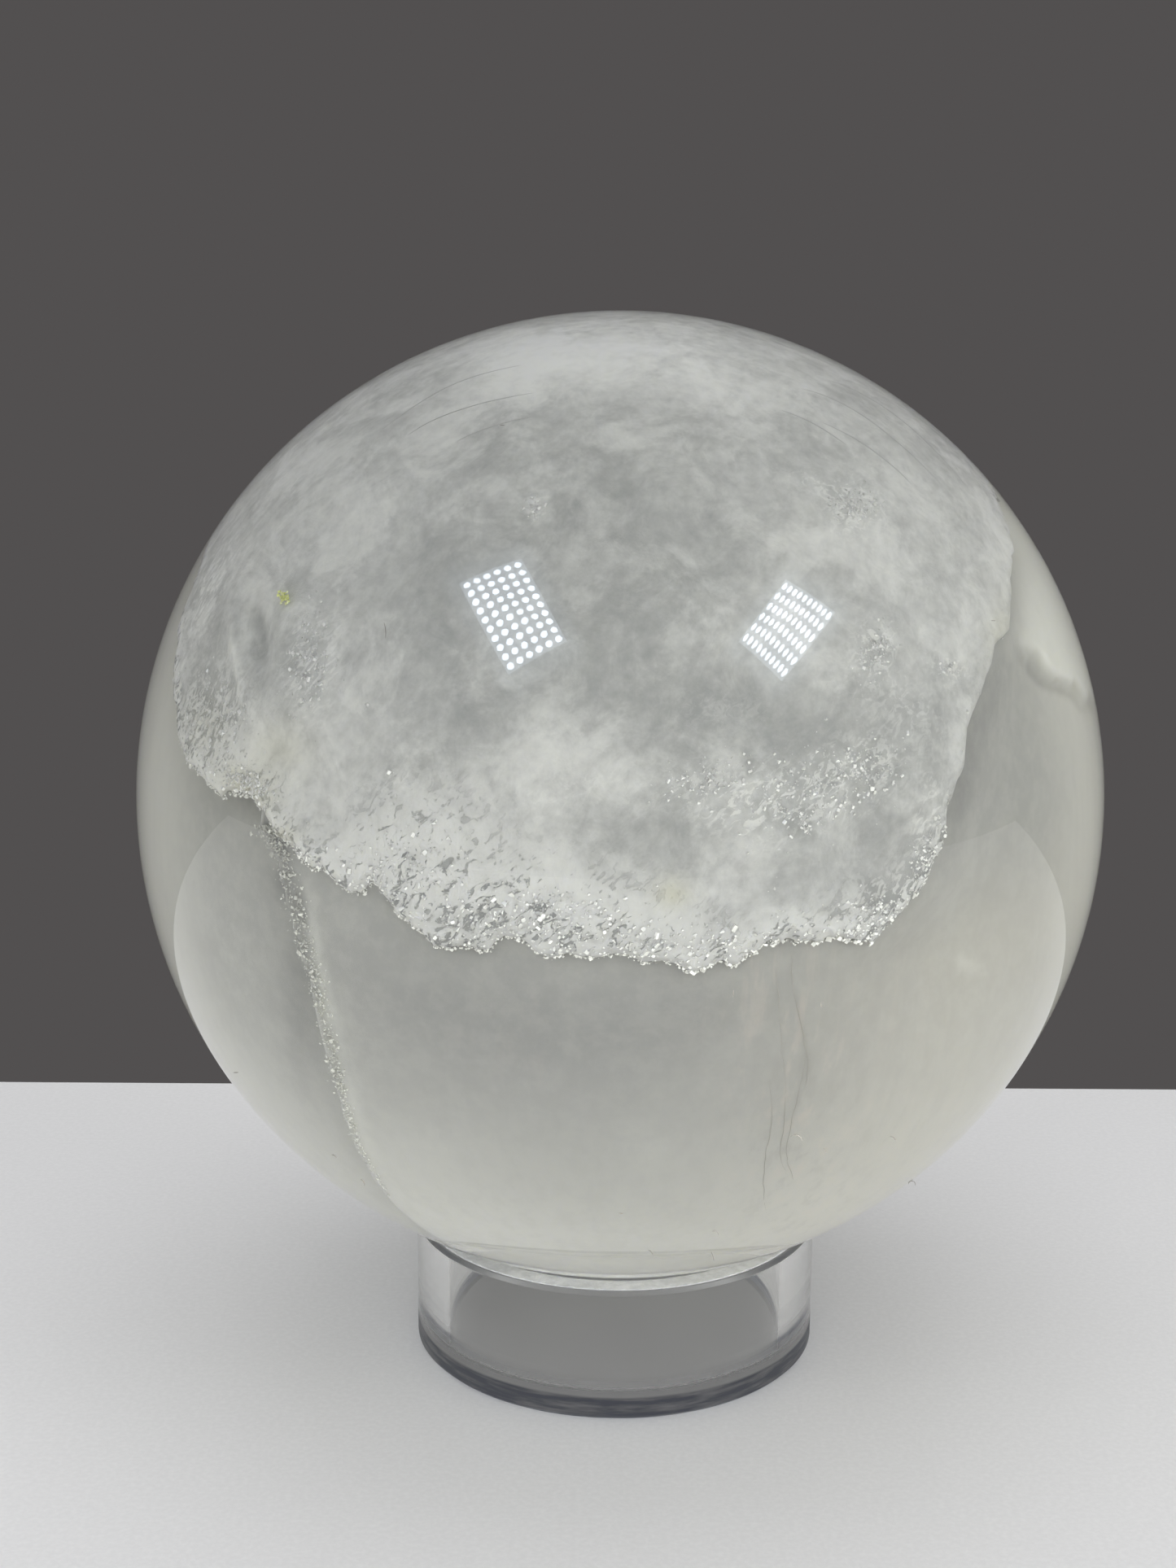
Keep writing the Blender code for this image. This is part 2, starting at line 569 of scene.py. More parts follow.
FROST_MARKS = [
    (1050, 620, 34, 26, 20, 1.0), (1000, 590, 40, 12, 15, 0.5), (1075, 795, 24, 34, 10, 1.0),
    (1165, 822, 24, 12, 20, 0.9), (656, 621, 14, 14, 0, 0.8), (380, 815, 32, 58, 5, 0.9),
    (250, 870, 40, 60, 20, 0.7), (255, 720, 22, 70, 18, 0.7), (990, 975, 85, 42, -25, 0.9),
    (920, 985, 60, 26, -10, 0.7), (1065, 945, 45, 34, -25, 0.9), (850, 960, 60, 30, -15, 0.4),
    (1110, 1100, 50, 40, -20, 0.6), (1140, 1010, 18, 60, 12, 0.8), (480, 960, 40, 16, -20, 0.4),
    (1110, 870, 60, 30, 30, 0.5), (890, 870, 60, 16, 0, 0.4), (700, 970, 60, 20, -20, 0.3),
]
STAIN_MARKS = [
    (826, 1098, 22, 18, 0, 0.8), (300, 968, 34, 20, 30, 1.0), (340, 920, 40, 35, 0, 0.45),
    (250, 890, 30, 40, 0, 0.35), (1230, 770, 14, 40, 10, 0.4), (345, 1030, 20, 16, 0, 0.6),
]
print("tones:", len(MILK_TONE_MARKS), " reliefs:", len(MILK_RELIEF_MARKS))
print("snow:", len(SNOW_MARKS), " frost:", len(FROST_MARKS), " stains:", len(STAIN_MARKS))

# %% [markdown]
# ## The cloud's surface
# The outer surface lies just under the polish. It swells and sinks in broad clouds, is
# grainy where it is sugary, and turns over in a round lip at the edge. This one function
# gives its depth anywhere, so the crystals that come later can sit right on it.

# %% Surface of the milky zone
LIP_WIDTH = 2.0
LIP_DROP = 0.018
CLOUD_LUMP = 0.022
CLOUD_RELIEF = 0.008
SUGAR_LUMP = 0.0022
SUGAR_RELIEF = 0.006
DEEPEST = 0.85
SHALLOWEST = 0.985
NEAR_CLIFF_START = (30.0, 38.0)
NEAR_CLIFF_END = (70.0, 80.0)
CLIFF_FOOT = (6.0, 12.0)


def along_cliff(outward):
    """1 beside the smooth, sharp cliff on the right and 0 elsewhere."""
    longitude, latitude = globe_arrays(outward)
    beside = rise_and_fall(NEAR_CLIFF_START, NEAR_CLIFF_END, longitude)
    return beside * smooth_step(*CLIFF_FOOT, latitude)


def milk_surface(outward, above_edge):
    """Depth of the cloud's outer surface, as a share of the ball's radius."""
    clouds = np.clip(lumpy(outward * BALL_RADIUS, CLOUD_LUMP, 4, 7.7), -1.0, 0.9)
    sugar = np.clip(soft_patches(outward, SNOW_MARKS, MILK_DEPTH), 0.0, 1.0)
    sugar = np.maximum(sugar, 1.0 - smooth_step(1.0, 4.0, above_edge))
    sugar = sugar * (1.0 - 0.9 * along_cliff(outward))
    grains = np.clip(lumpy(outward * BALL_RADIUS, SUGAR_LUMP, 3, 1.3), -1.0, 1.0)
    inward = 1.0 - np.clip(above_edge / LIP_WIDTH, 0.0, 1.0)
    lip = np.sqrt(np.clip(1.0 - inward ** 2, 0.0, 1.0))
    depth = MILK_DEPTH + CLOUD_RELIEF * clouds + SUGAR_RELIEF * sugar * grains
    depth += soft_patches(outward, MILK_RELIEF_MARKS, MILK_DEPTH)
    return np.clip(depth - LIP_DROP * (1.0 - lip), DEEPEST, SHALLOWEST), sugar


front_depth, _ = milk_surface(directions(np.array([0.0]), np.array([30.0])), np.array([30.0]))
print("depth in front:", front_depth.round(4), "of the radius")

# %% [markdown]
# ## The cloud's mesh
# Rings run from the top down to the edge, over the lip, and back up inside to the top, so
# the mesh is closed and the cloud has a real thickness. They crowd together in front, where
# the stone is looked at. The fields that the finish needs are painted on at the same time.

# %% Shape of the milky zone
MILK_AROUND = 860
MILK_CROWDING = 20.0
MILK_RINGS = 96
LIP_RINGS = 9
INNER_RINGS = 4
INNER_DEPTH = 0.74
WALL_RISE = 5.0
EDGE_BAND = (0.0, 9.0)
# Bands where the stone is painted lighter towards the sides and the top, as painted light.
SIDE_LIT_RIM = (55.0, 80.0)
TOP_LIT_RIM = (52.0, 78.0)


def ring_directions(longitudes, latitude):
    """Directions for rings that share their longitudes."""
    return directions(np.broadcast_to(longitudes, latitude.shape), latitude)


def milk_lining(longitudes, edge, lip_depth):
    """Rings from the lip in to the cloud's inner side, and over that to the top."""
    down = np.linspace(0.0, 1.0, LIP_RINGS + 1)[1:, None]
    wall_depth = lip_depth + (INNER_DEPTH - lip_depth) * down
    wall_latitude = edge + WALL_RISE * down ** 0.7
    wall = ring_directions(longitudes, wall_latitude) * wall_depth[..., None]
    back = np.linspace(0.0, 1.0, INNER_RINGS + 1)[1:, None]
    inner_latitude = wall_latitude[-1] + (90.0 - wall_latitude[-1]) * back
    return wall, ring_directions(longitudes, inner_latitude) * INNER_DEPTH


def make_milky_zone():
    """The cloud's closed mesh, with the fields that its finish reads."""
    even = np.arange(MILK_AROUND) * 360.0 / MILK_AROUND
    longitudes = even - MILK_CROWDING * np.sin(np.radians(even))
    edge = edge_latitude(longitudes)
    share = 1.0 - (1.0 - np.linspace(0.0, 1.0, MILK_RINGS)) ** 1.7
    latitude = 90.0 - (90.0 - edge)[None, :] * share[:, None]
    outward = ring_directions(longitudes, latitude)
    depth, sugar = milk_surface(outward, latitude - edge[None, :])
    wall, inner = milk_lining(longitudes, edge, depth[-1])
    rings = np.concatenate([outward * depth[..., None], wall, inner])
    zone = closed_skin("milky_zone", rings * BALL_RADIUS + np.array(BALL_CENTRE))
    rest = np.zeros((LIP_RINGS + INNER_RINGS, MILK_AROUND))
    near_edge = 1.0 - smooth_step(*EDGE_BAND, latitude - edge)
    around = np.abs((longitudes + 180.0) % 360.0 - 180.0)
    # The rim field is painted light: it whitens the cloud towards the top and the sides.
    rim = np.maximum(smooth_step(*SIDE_LIT_RIM, around)[None, :], smooth_step(*TOP_LIT_RIM, latitude))
    paint(zone, "near_edge", ring_values(np.concatenate([near_edge, rest + 1.0])))
    paint(zone, "sugar", ring_values(np.concatenate([sugar, rest + 1.0])))
    paint(zone, "rim", ring_values(np.concatenate([rim, rest])))
    for name, marks in (("tone", MILK_TONE_MARKS), ("stain", STAIN_MARKS), ("frost", FROST_MARKS)):
        patches = soft_patches(outward, marks, MILK_DEPTH)
        paint(zone, name, ring_values(np.concatenate([patches, rest])))
    return zone


milky_zone = make_milky_zone()
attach(milky_zone, BODY)
print("milky zone:", len(milky_zone.data.polygons), "faces")

# %% [markdown]
# ## The cloud's finish
# The cloud is the same stone as the rest, full of tiny bubbles and gaps that scatter light.
# So its colour runs from grey, where it is thin, to white. Layers of noise at several sizes
# are weighed with the painted tone. Where it is sugary, a sharp threshold on a slanted noise
# opens small pits between the flakes. A dull surface with light spreading just under it
# keeps it soft, and a slight bump lets the flakes catch light.

# %% Finish of the milky zone
MILK_GREY = (0.40, 0.405, 0.395, 1.0)
MILK_WHITE = (0.80, 0.80, 0.775, 1.0)
MILK_LIT_WHITE = (0.97, 0.97, 0.95, 1.0)
MILK_STAIN = (0.66, 0.64, 0.46, 1.0)


def milk_finish():
    """Grey to white cloud, with sugary, frosted and stained places."""
    recipe = Recipe("milky_fluorite")
    cloud = recipe.noise(45.0, 6.0, 0.60, distortion=0.2)
    mottle = recipe.noise(190.0, 6.0, 0.66, distortion=0.8)
    fine = recipe.noise(700.0, 5.0, 0.65)
    slanted = recipe.turned(50.0, (1.0, 1.0, 0.45))
    flakes = recipe.noise(1050.0, 5.0, 0.62, place=slanted, distortion=1.3)
    billows = recipe.ease(recipe.noise(110.0, 7.0, 0.66, distortion=0.5), 0.47, 0.60)
    brushed = recipe.noise(700.0, 4.0, 0.6, place=recipe.turned(35.0, (1.0, 1.0, 0.2)))
    sugar = recipe.painted("sugar")
    # The rim field is painted light, lighter towards the top and the sides.
    rim = recipe.painted("rim")
    tone = recipe.total(
        (cloud, 0.50), (mottle, 0.90), (fine, 0.75), (brushed, 0.30), (billows, 0.22), (rim, 0.12),
        (recipe.painted("tone"), 0.8), (recipe.painted("near_edge"), 0.10),
    )
    soft = recipe.ease(tone, 0.58, 1.96)
    crisp = recipe.ease(recipe.total((tone, 0.8), (flakes, 3.0)), 2.30, 2.46)
    loose = recipe.ease(flakes, 0.50, 0.58, 0.0, 0.55)
    frost = recipe.math("MULTIPLY", recipe.painted("frost"), loose)
    pitted = recipe.math("SUBTRACT", crisp, soft)
    white = recipe.total((soft, 1.0), (sugar, pitted), (frost, 1.0))
    # Painted light: the white turns whiter still where the rim field is.
    colour = recipe.mix(white, MILK_GREY, recipe.mix(rim, MILK_WHITE, MILK_LIT_WHITE))
    stain = recipe.math("MULTIPLY", recipe.painted("stain"), 0.5)
    colour = recipe.mix(stain, colour, MILK_STAIN)
    recipe.set(
        Base_Color=colour,
        Roughness=0.75,
        Specular_IOR_Level=0.15,
        Subsurface_Weight=1.0,
        Subsurface_Radius=(1.0, 1.0, 0.9),
        Subsurface_Scale=0.0003,
    )
    recipe.bump(recipe.total((mottle, 0.4), (sugar, recipe.math("MULTIPLY", crisp, 0.35))), 0.0006)
    return recipe.material


milky_zone.data.materials.append(milk_finish())
print("finish:", milky_zone.data.materials[0].name)

# %% [markdown]
# ## The hazy body
# Under the cloud the stone is smooth and only hazy, so nothing behind it can be made out.
# It is a rounded body that lies a little deeper than the cloud. Left of the long crack and
# right of the cliff the stone is clearer, so there the haze lies deeper still. The crack is
# the step between two levels, and a second cloud hangs in the clearer part on the right.

# %% Lines through the hazy body
CRACK_PIXELS = [
    (325, 1015), (344, 1057), (369, 1153), (386, 1214), (405, 1298), (420, 1356), (439, 1409),
    (476, 1469),
]
SECOND_CLOUD_PIXELS = [(1235, 800), (1262, 817), (1293, 838), (1328, 855), (1352, 862)]
CLIFF_PIXELS = [(1045, 1190), (1135, 1105), (1166, 1000), (1191, 900), (1226, 793), (1244, 707)]
HAZE_DEPTH = 0.925
CLEAR_DEPTH = 0.83
CRACK_DEPTH = 0.9


def side_of_line(pixels, depth, longitude, latitude):
    """How far right of a steep line a place is, in degrees."""
    known = sorted((lat, lon) for lon, lat in globe_places(pixels, depth))
    at = np.interp(latitude, [p[0] for p in known], [p[1] for p in known])
    return (longitude - at) * np.cos(np.radians(latitude))


def above_second_cloud_edge(longitude, latitude):
    """How far above the second cloud's lower edge a place is, in degrees."""
    known = globe_places(SECOND_CLOUD_PIXELS, CLEAR_DEPTH) + [(150, 6)]
    return latitude - np.interp(longitude, [p[0] for p in known], [p[1] for p in known])


crack_places = globe_places(CRACK_PIXELS, CRACK_DEPTH)
print("the crack runs from", [round(v) for v in crack_places[0]], "to",
      [round(v) for v in crack_places[-1]], "degrees")

# %% [markdown]
# ## The haze's shape
# The haze is one smooth globe whose depth changes from place to place. It steps back left
# of the crack, falls away softly right of the cliff, and stays well behind the cloud where
# the cloud covers it, so that the two never touch. Soft ovals again set its tone.

# %% Shape of the hazy body
# The two dark ovals right of the cliff, at 1190 and 1226 across, are painted shade beside the cliff.
HAZE_TONE_MARKS = [
    (1215, 1197, 26, 12, 20, 0.22), (795, 1415, 40, 30, 0, 0.20), (1170, 1240, 90, 60, -30, 0.08),
    (388, 1170, 12, 110, -12, 0.45), (440, 1390, 14, 90, -28, 0.40), (328, 1092, 24, 24, 0, -0.7),
    (640, 1260, 180, 50, 0, -0.25), (430, 1230, 40, 120, -8, 0.18), (520, 1420, 60, 40, -20, 0.15),
    (870, 1240, 90, 40, 0, -0.1), (1190, 960, 30, 110, 15, -0.45), (1226, 860, 22, 45, 15, -0.35),
    (340, 1250, 30, 120, -8, -0.35), (270, 1180, 50, 60, 0, 0.1),
]
STREAK_MARKS = [
    (975, 1320, 75, 190, 0, 1.0), (1120, 1350, 60, 120, 10, 0.25), (620, 1350, 100, 130, 0, 0.15),
]
HAZE_LUMP = 0.03
HAZE_RELIEF = 0.006
CRACK_STEP = (-0.5, 0.5)
CLEAR_LEFT_END = (60.0, 90.0)
CLEAR_RIGHT_START = (-3.0, 16.0)
CLEAR_RIGHT_END = (70.0, 100.0)
CLEAR_RIGHT_BOTTOM = (-34.0, -2.0)
SECOND_CLOUD_EDGE = (-1.0, 1.5)
BEHIND_LIT_RIM = (110.0, 140.0)
UNDER_CLOUD = 0.07
HAZE_AROUND = 420
HAZE_RINGS = 210


def haze_swell(outward):
    """Slow swelling of the haze's surface, as a share of the ball's radius."""
    return HAZE_RELIEF * lumpy(outward * BALL_RADIUS, HAZE_LUMP, 3, 12.3)


def clearer_parts(outward, lon, lat):
    """How much clearer the stone is at each place, and how much of the second cloud is there."""
    from_crack = side_of_line(CRACK_PIXELS, CRACK_DEPTH, lon, lat)
    left = 1.0 - smooth_step(*CRACK_STEP, from_crack)
    left = left * (1.0 - smooth_step(*CLEAR_LEFT_END, -from_crack))
    from_cliff = side_of_line(CLIFF_PIXELS, HAZE_DEPTH, lon, lat)
    right = rise_and_fall(CLEAR_RIGHT_START, CLEAR_RIGHT_END, from_cliff)
    right = right * smooth_step(*CLEAR_RIGHT_BOTTOM, lat)
    above = above_second_cloud_edge(lon, lat) + 2.0 * lumpy(outward * BALL_RADIUS, 0.007, 5, 5.5)
    second = smooth_step(*SECOND_CLOUD_EDGE, above) * right
    return np.maximum(left, right * (1.0 - 0.5 * second)), second


def make_hazy_body():
    """The haze's closed mesh, with the fields that its finish reads."""
    latitudes = np.linspace(90.0, -90.0, HAZE_RINGS + 1)
    longitudes = np.arange(HAZE_AROUND) * 360.0 / HAZE_AROUND - 180.0
    lon, lat = np.meshgrid(longitudes, latitudes)
    outward = directions(lon, lat)
    clear, second = clearer_parts(outward, lon, lat)
    depth = HAZE_DEPTH - (HAZE_DEPTH - CLEAR_DEPTH) * clear + haze_swell(outward)
    under_cloud = smooth_step(3.0, 9.0, lat - edge_latitude(longitudes)[None, :])
    depth -= UNDER_CLOUD * under_cloud * (1.0 - clear)
    body = closed_skin("hazy_body", at_depth(outward, depth))
    # The rim field is painted light: it makes the haze paler at its sides.
    rim = rise_and_fall(SIDE_LIT_RIM, BEHIND_LIT_RIM, np.abs(lon))
    warm = rise_and_fall((-5.0, 45.0), (100.0, 140.0), lon) * smooth_step(8.0, -12.0, lat)
    paint(body, "rim", ring_values(rim))
    paint(body, "warm", ring_values(warm))
    paint(body, "second_cloud", ring_values(second))
    paint(body, "tone", ring_values(soft_patches(outward, HAZE_TONE_MARKS, HAZE_DEPTH)))
    paint(body, "streaks", ring_values(soft_patches(outward, STREAK_MARKS, HAZE_DEPTH)))
    return body


hazy_body = make_hazy_body()
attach(hazy_body, BODY)
print("hazy body:", len(hazy_body.data.polygons), "faces")

# %% [markdown]
# ## The haze's finish
# The haze scatters light deeper than the cloud does, so it looks like dense smoke. It is painted paler
# low down, for the light that gathers in the bottom of the stone, and paler at the sides; both are
# painted light. It is warmer at the right, and crossed by upright streaks that are faintly rusty or
# grey. Each of these is one colour laid over the last, by an amount that comes from a painted field, a
# noise or both.

# %% Finish of the hazy body
# The pale low colour is painted light, for the light that gathers in the bottom of the stone.
HAZE_LIT_LOW = (0.98, 0.98, 0.93, 1.0)
HAZE_MIDDLE = (0.43, 0.43, 0.412, 1.0)


def haze_finish():
    """Smoky haze, one thin layer of colour over another."""
    recipe = Recipe("hazy_fluorite")
    wisps = recipe.noise(60.0, 5.0, 0.6)
    grain = recipe.noise(420.0, 6.0, 0.7)
    hanging = recipe.turned(0.0, (1.0, 1.0, 0.08))
    threads = recipe.noise(520.0, 4.0, 0.6, place=hanging)
    painted_tone = recipe.painted("tone")
    tone = recipe.total((painted_tone, 0.8), (wisps, 0.16), (grain, 0.24))
    streaks = recipe.painted("streaks")
    rusty = recipe.math("MULTIPLY", streaks, recipe.ease(threads, 0.50, 0.70, 0.0, 0.25))
    greyish = recipe.math("MULTIPLY", streaks, recipe.ease(threads, 0.47, 0.33, 0.0, 0.22))
    patchy = recipe.ease(wisps, 0.3, 0.6, 0.6, 1.0)
    layers = [
        (recipe.ease(recipe.height(), 0.020, 0.062), HAZE_MIDDLE),
        (recipe.math("MULTIPLY", recipe.painted("warm"), 0.40), (0.72, 0.69, 0.60, 1.0)),
        # Painted light: the rim field makes the sides paler.
        (recipe.math("MULTIPLY", recipe.painted("rim"), 0.7), (0.84, 0.83, 0.77, 1.0)),
        (recipe.ease(threads, 0.60, 0.30, 0.0, 0.08), (0.42, 0.42, 0.40, 1.0)),
        (recipe.ease(grain, 0.38, 0.66, 0.0, 0.14), (0.70, 0.70, 0.65, 1.0)),
        (recipe.ease(wisps, 0.40, 0.70, 0.0, 0.12), (0.66, 0.66, 0.62, 1.0)),
        (recipe.ease(tone, 0.19, 1.0), (0.90, 0.90, 0.84, 1.0)),
        (recipe.ease(tone, 0.21, -0.5), (0.30, 0.30, 0.29, 1.0)),
        (rusty, (0.84, 0.74, 0.66, 1.0)),
        (greyish, (0.46, 0.44, 0.42, 1.0)),
        (recipe.math("MULTIPLY", recipe.painted("second_cloud"), patchy), (0.84, 0.84, 0.79, 1.0)),
    ]
    base = HAZE_LIT_LOW
    for amount, colour in layers:
        base = recipe.mix(amount, base, colour)
    recipe.set(
        Base_Color=base,
        Roughness=0.9,
        Specular_IOR_Level=0.05,
        Subsurface_Weight=1.0,
        Subsurface_Radius=(1.0, 1.0, 0.9),
        Subsurface_Scale=0.003,
    )
    return recipe.material


hazy_body.data.materials.append(haze_finish())
print("finish:", hazy_body.data.materials[0].name)

# %% [markdown]
# ## Sugar crystals
# Where the cloud ends it breaks up into thousands of tiny crystals, like coarse sugar.
# Fluorite grows as cubes, and those of one growth all stand nearly the same way, which is
# what gives the edge its woven look. Each crystal here is a small box, all are set along
# one slanted direction with a little scatter, and they are joined in one mesh.

# %% Crystal helpers
CRYSTAL_TURN = Matrix.Rotation(math.radians(38), 3, "Y") @ Matrix.Rotation(math.radians(25), 3, "Z")
CUBE_CORNERS = np.array([[x, y, z] for x in (-1, 1) for y in (-1, 1) for z in (-1, 1)]) / 2
CUBE_FACES = np.array([
    [0, 1, 3, 2], [4, 6, 7, 5], [0, 4, 5, 1], [2, 3, 7, 6], [0, 2, 6, 4], [1, 5, 7, 3],
])


def grow_crystals(name, centres, sizes, scatter, rng):
    """One mesh of small boxes that stand nearly the same way."""
    count = len(centres)
    shape = rng.uniform(0.5, 1.5, (count, 1, 3)) * sizes[:, None, None]
    turns = []
    for tilt in rng.normal(0.0, scatter, (count, 3)):
        small = Matrix.Rotation(tilt[0], 3, "X") @ Matrix.Rotation(tilt[1], 3, "Y")
        turns.append(np.array(CRYSTAL_TURN @ small @ Matrix.Rotation(tilt[2], 3, "Z")))
    corners = np.einsum("nij,nkj->nki", np.array(turns), CUBE_CORNERS[None] * shape)
    corners = corners + centres[:, None, :]
    faces = (CUBE_FACES[None] + 8 * np.arange(count)[:, None, None]).reshape(-1, 4)
    piece = add_mesh(name, corners.reshape(-1, 3), faces.tolist())
    piece.data.shade_flat()
    # Each crystal's random shade is partly its own tone; the brightest stand in for glints, so they are
    # partly painted glints.
    paint(piece, "shade", np.repeat(rng.uniform(0.0, 1.0, count), 8))
    return piece


def crystal_finish(name, dull, bright):
    """A glassy, slightly milky finish; each crystal has its own shade between two colours, the bright
    end partly a painted glint.
    """
    recipe = Recipe(name)
    colour = recipe.mix(recipe.painted("shade"), dull, bright)
    fine = recipe.noise(2500.0, 2.0, 0.6)
    recipe.set(
        Base_Color=colour,
        Roughness=recipe.ease(fine, 0.3, 0.8, 0.22, 0.5),
        IOR=FLUORITE_IOR,
        Subsurface_Weight=0.6,
        Subsurface_Radius=(1.0, 1.0, 0.9),
        Subsurface_Scale=0.001,
    )
    return recipe.material


print("one crystal:", len(CUBE_CORNERS), "corners,", len(CUBE_FACES), "faces")

# %% [markdown]
# ## Crystals along the edge
# Most crystals sit on the cloud's edge, and a few stand just below it. They are denser in
# front, and nearly none grow on the smooth cliff. Chance places them, from one fixed start,
# so that every run gives the same stone.

# %% Crystals along the edge
EDGE_CRYSTALS = 7000
EDGE_CROWDING = 30.0
EDGE_SPREAD = 2.6
EDGE_CRYSTAL_SIZE = 0.00015
rng = np.random.default_rng(7)


def make_edge_crystals():
    """Crystals scattered along the cloud's ragged edge."""
    even = rng.uniform(0.0, 360.0, EDGE_CRYSTALS)
    longitude = even - EDGE_CROWDING * np.sin(np.radians(even))
    edge = edge_latitude(longitude)
    above = np.maximum(np.abs(rng.normal(0.0, EDGE_SPREAD, EDGE_CRYSTALS)) - 1.0, -0.35)
    outward = directions(longitude, edge + above)
    kept = rng.uniform(0.0, 1.0, EDGE_CRYSTALS) > 0.95 * along_cliff(outward)
    outward, above = outward[kept], above[kept]
    depth, _ = milk_surface(outward, np.maximum(above, 0.0))
    depth = depth - 0.006 * rng.uniform(0.0, 1.0, len(above)) - 0.02 * np.clip(-above, 0.0, 1.0)
    sizes = np.clip(rng.lognormal(math.log(EDGE_CRYSTAL_SIZE), 0.45, len(above)), 0.0001, 0.0005)
    return grow_crystals("edge_crystals", at_depth(outward, depth), sizes, 0.22, rng)


edge_crystals = make_edge_crystals()
edge_crystals.data.materials.append(
    crystal_finish("sugar_crystal", (0.52, 0.52, 0.49, 1.0), (0.95, 0.95, 0.91, 1.0))
)
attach(edge_crystals, BODY)
print("edge crystals:", len(edge_crystals.data.polygons), "faces")

# %% [markdown]
# ## Crystals in patches
# Loose groups of crystals also glint inside the cloud. Each group is a soft oval like the
# marks above: a pixel, two half sizes, a turn and, here, a number of crystals.

# %% Crystals in patches
PATCH_CRYSTALS = [
    (480, 1075, 70, 42, -35, 420), (650, 1125, 95, 28, 0, 420), (820, 1160, 100, 20, 4, 260),
    (1050, 620, 26, 18, 0, 160), (1076, 800, 20, 30, 20, 140), (1165, 822, 10, 7, 0, 40),
    (656, 621, 11, 11, 0, 40), (380, 815, 24, 50, 5, 260), (250, 885, 36, 46, 20, 420),
    (300, 962, 30, 16, 30, 420), (990, 975, 70, 45, -25, 300), (1065, 945, 40, 26, -25, 160),
    (991, 1018, 8, 5, 30, 40), (1140, 1060, 18, 36, 15, 180), (1080, 1125, 42, 24, -20, 200),
    (860, 960, 45, 20, -15, 110), (360, 1060, 20, 22, 30, 160), (449, 866, 3, 3, 0, 5),
    (480, 949, 3, 3, 0, 5),
]
PATCH_CRYSTAL_SIZE = 0.00014


def make_patch_crystals():
    """Crystals in soft ovals, all of them on the cloud's own surface."""
    found = []
    for px, py, half_wide, half_high, turn, count in PATCH_CRYSTALS:
        cosine, sine = math.cos(math.radians(turn)), math.sin(math.radians(turn))
        for across, down in rng.normal(0.0, 0.6, (count, 2)):
            x, y = across * half_wide, down * half_high
            place = px + cosine * x - sine * y, py + sine * x + cosine * y
            found.append(np.array(look_into(*place, MILK_DEPTH)))
    outward = np.array(found)
    longitude, latitude = globe_arrays(outward)
    above = latitude - edge_latitude(longitude)
    outward = outward[above > -0.5]
    depth, _ = milk_surface(outward, np.maximum(above[above > -0.5], 0.0))
    sizes = rng.lognormal(math.log(PATCH_CRYSTAL_SIZE), 0.45, len(outward))
    sizes = np.clip(sizes, 0.0001, 0.0004)
    return grow_crystals("patch_crystals", at_depth(outward, depth - 0.0005), sizes, 0.3, rng)


patch_crystals = make_patch_crystals()
patch_crystals.data.materials.append(
    crystal_finish("bright_crystal", (0.60, 0.60, 0.57, 1.0), (0.97, 0.97, 0.94, 1.0))
)
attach(patch_crystals, BODY)
print("patch crystals:", len(patch_crystals.data.polygons), "faces")

# %% [markdown]
# ## Crystals along the crack
# Where the long crack meets the haze it is lined with the same small crystals, many at its
# top and fewer and finer ones further down. They are duller than those of the cloud.

# %% Crystals along the crack
CRACK_CRYSTALS = 3000
CRACK_CRYSTAL_SIZE = 0.00013


def make_crack_crystals():
    """Crystals along the crack, wider apart at its top."""
    share = rng.uniform(0.0, 1.0, CRACK_CRYSTALS) ** 1.6
    along = share * (len(CRACK_PIXELS) - 1)
    xs = np.interp(along, range(len(CRACK_PIXELS)), [p[0] for p in CRACK_PIXELS])
    ys = np.interp(along, range(len(CRACK_PIXELS)), [p[1] for p in CRACK_PIXELS])
    width = 7.0 * (1.0 - share) + 1.5
    xs = xs + rng.normal(1.0, 1.0, CRACK_CRYSTALS) * width
    outward = np.array([look_into(x, y, HAZE_DEPTH) for x, y in zip(xs, ys)])
    depth = rng.uniform(0.915, 0.932, CRACK_CRYSTALS)
    sizes = rng.lognormal(math.log(CRACK_CRYSTAL_SIZE), 0.4, CRACK_CRYSTALS) * (1.0 - 0.3 * share)
    return grow_crystals("crack_crystals", at_depth(outward, depth), sizes, 0.5, rng)


crack_crystals = make_crack_crystals()
crack_crystals.data.materials.append(
    crystal_finish("crack_crystal", (0.42, 0.42, 0.39, 1.0), (0.66, 0.66, 0.61, 1.0))
)
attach(crack_crystals, BODY)
print("crack crystals:", len(crack_crystals.data.polygons), "faces")

# %% [markdown]
# ## Thin lines
# Growth lines, threads and dust are all thin tubes with pointed ends. A smooth curve through
# a few pixels of the picture gives the line, and a ring of six points along it the tube.

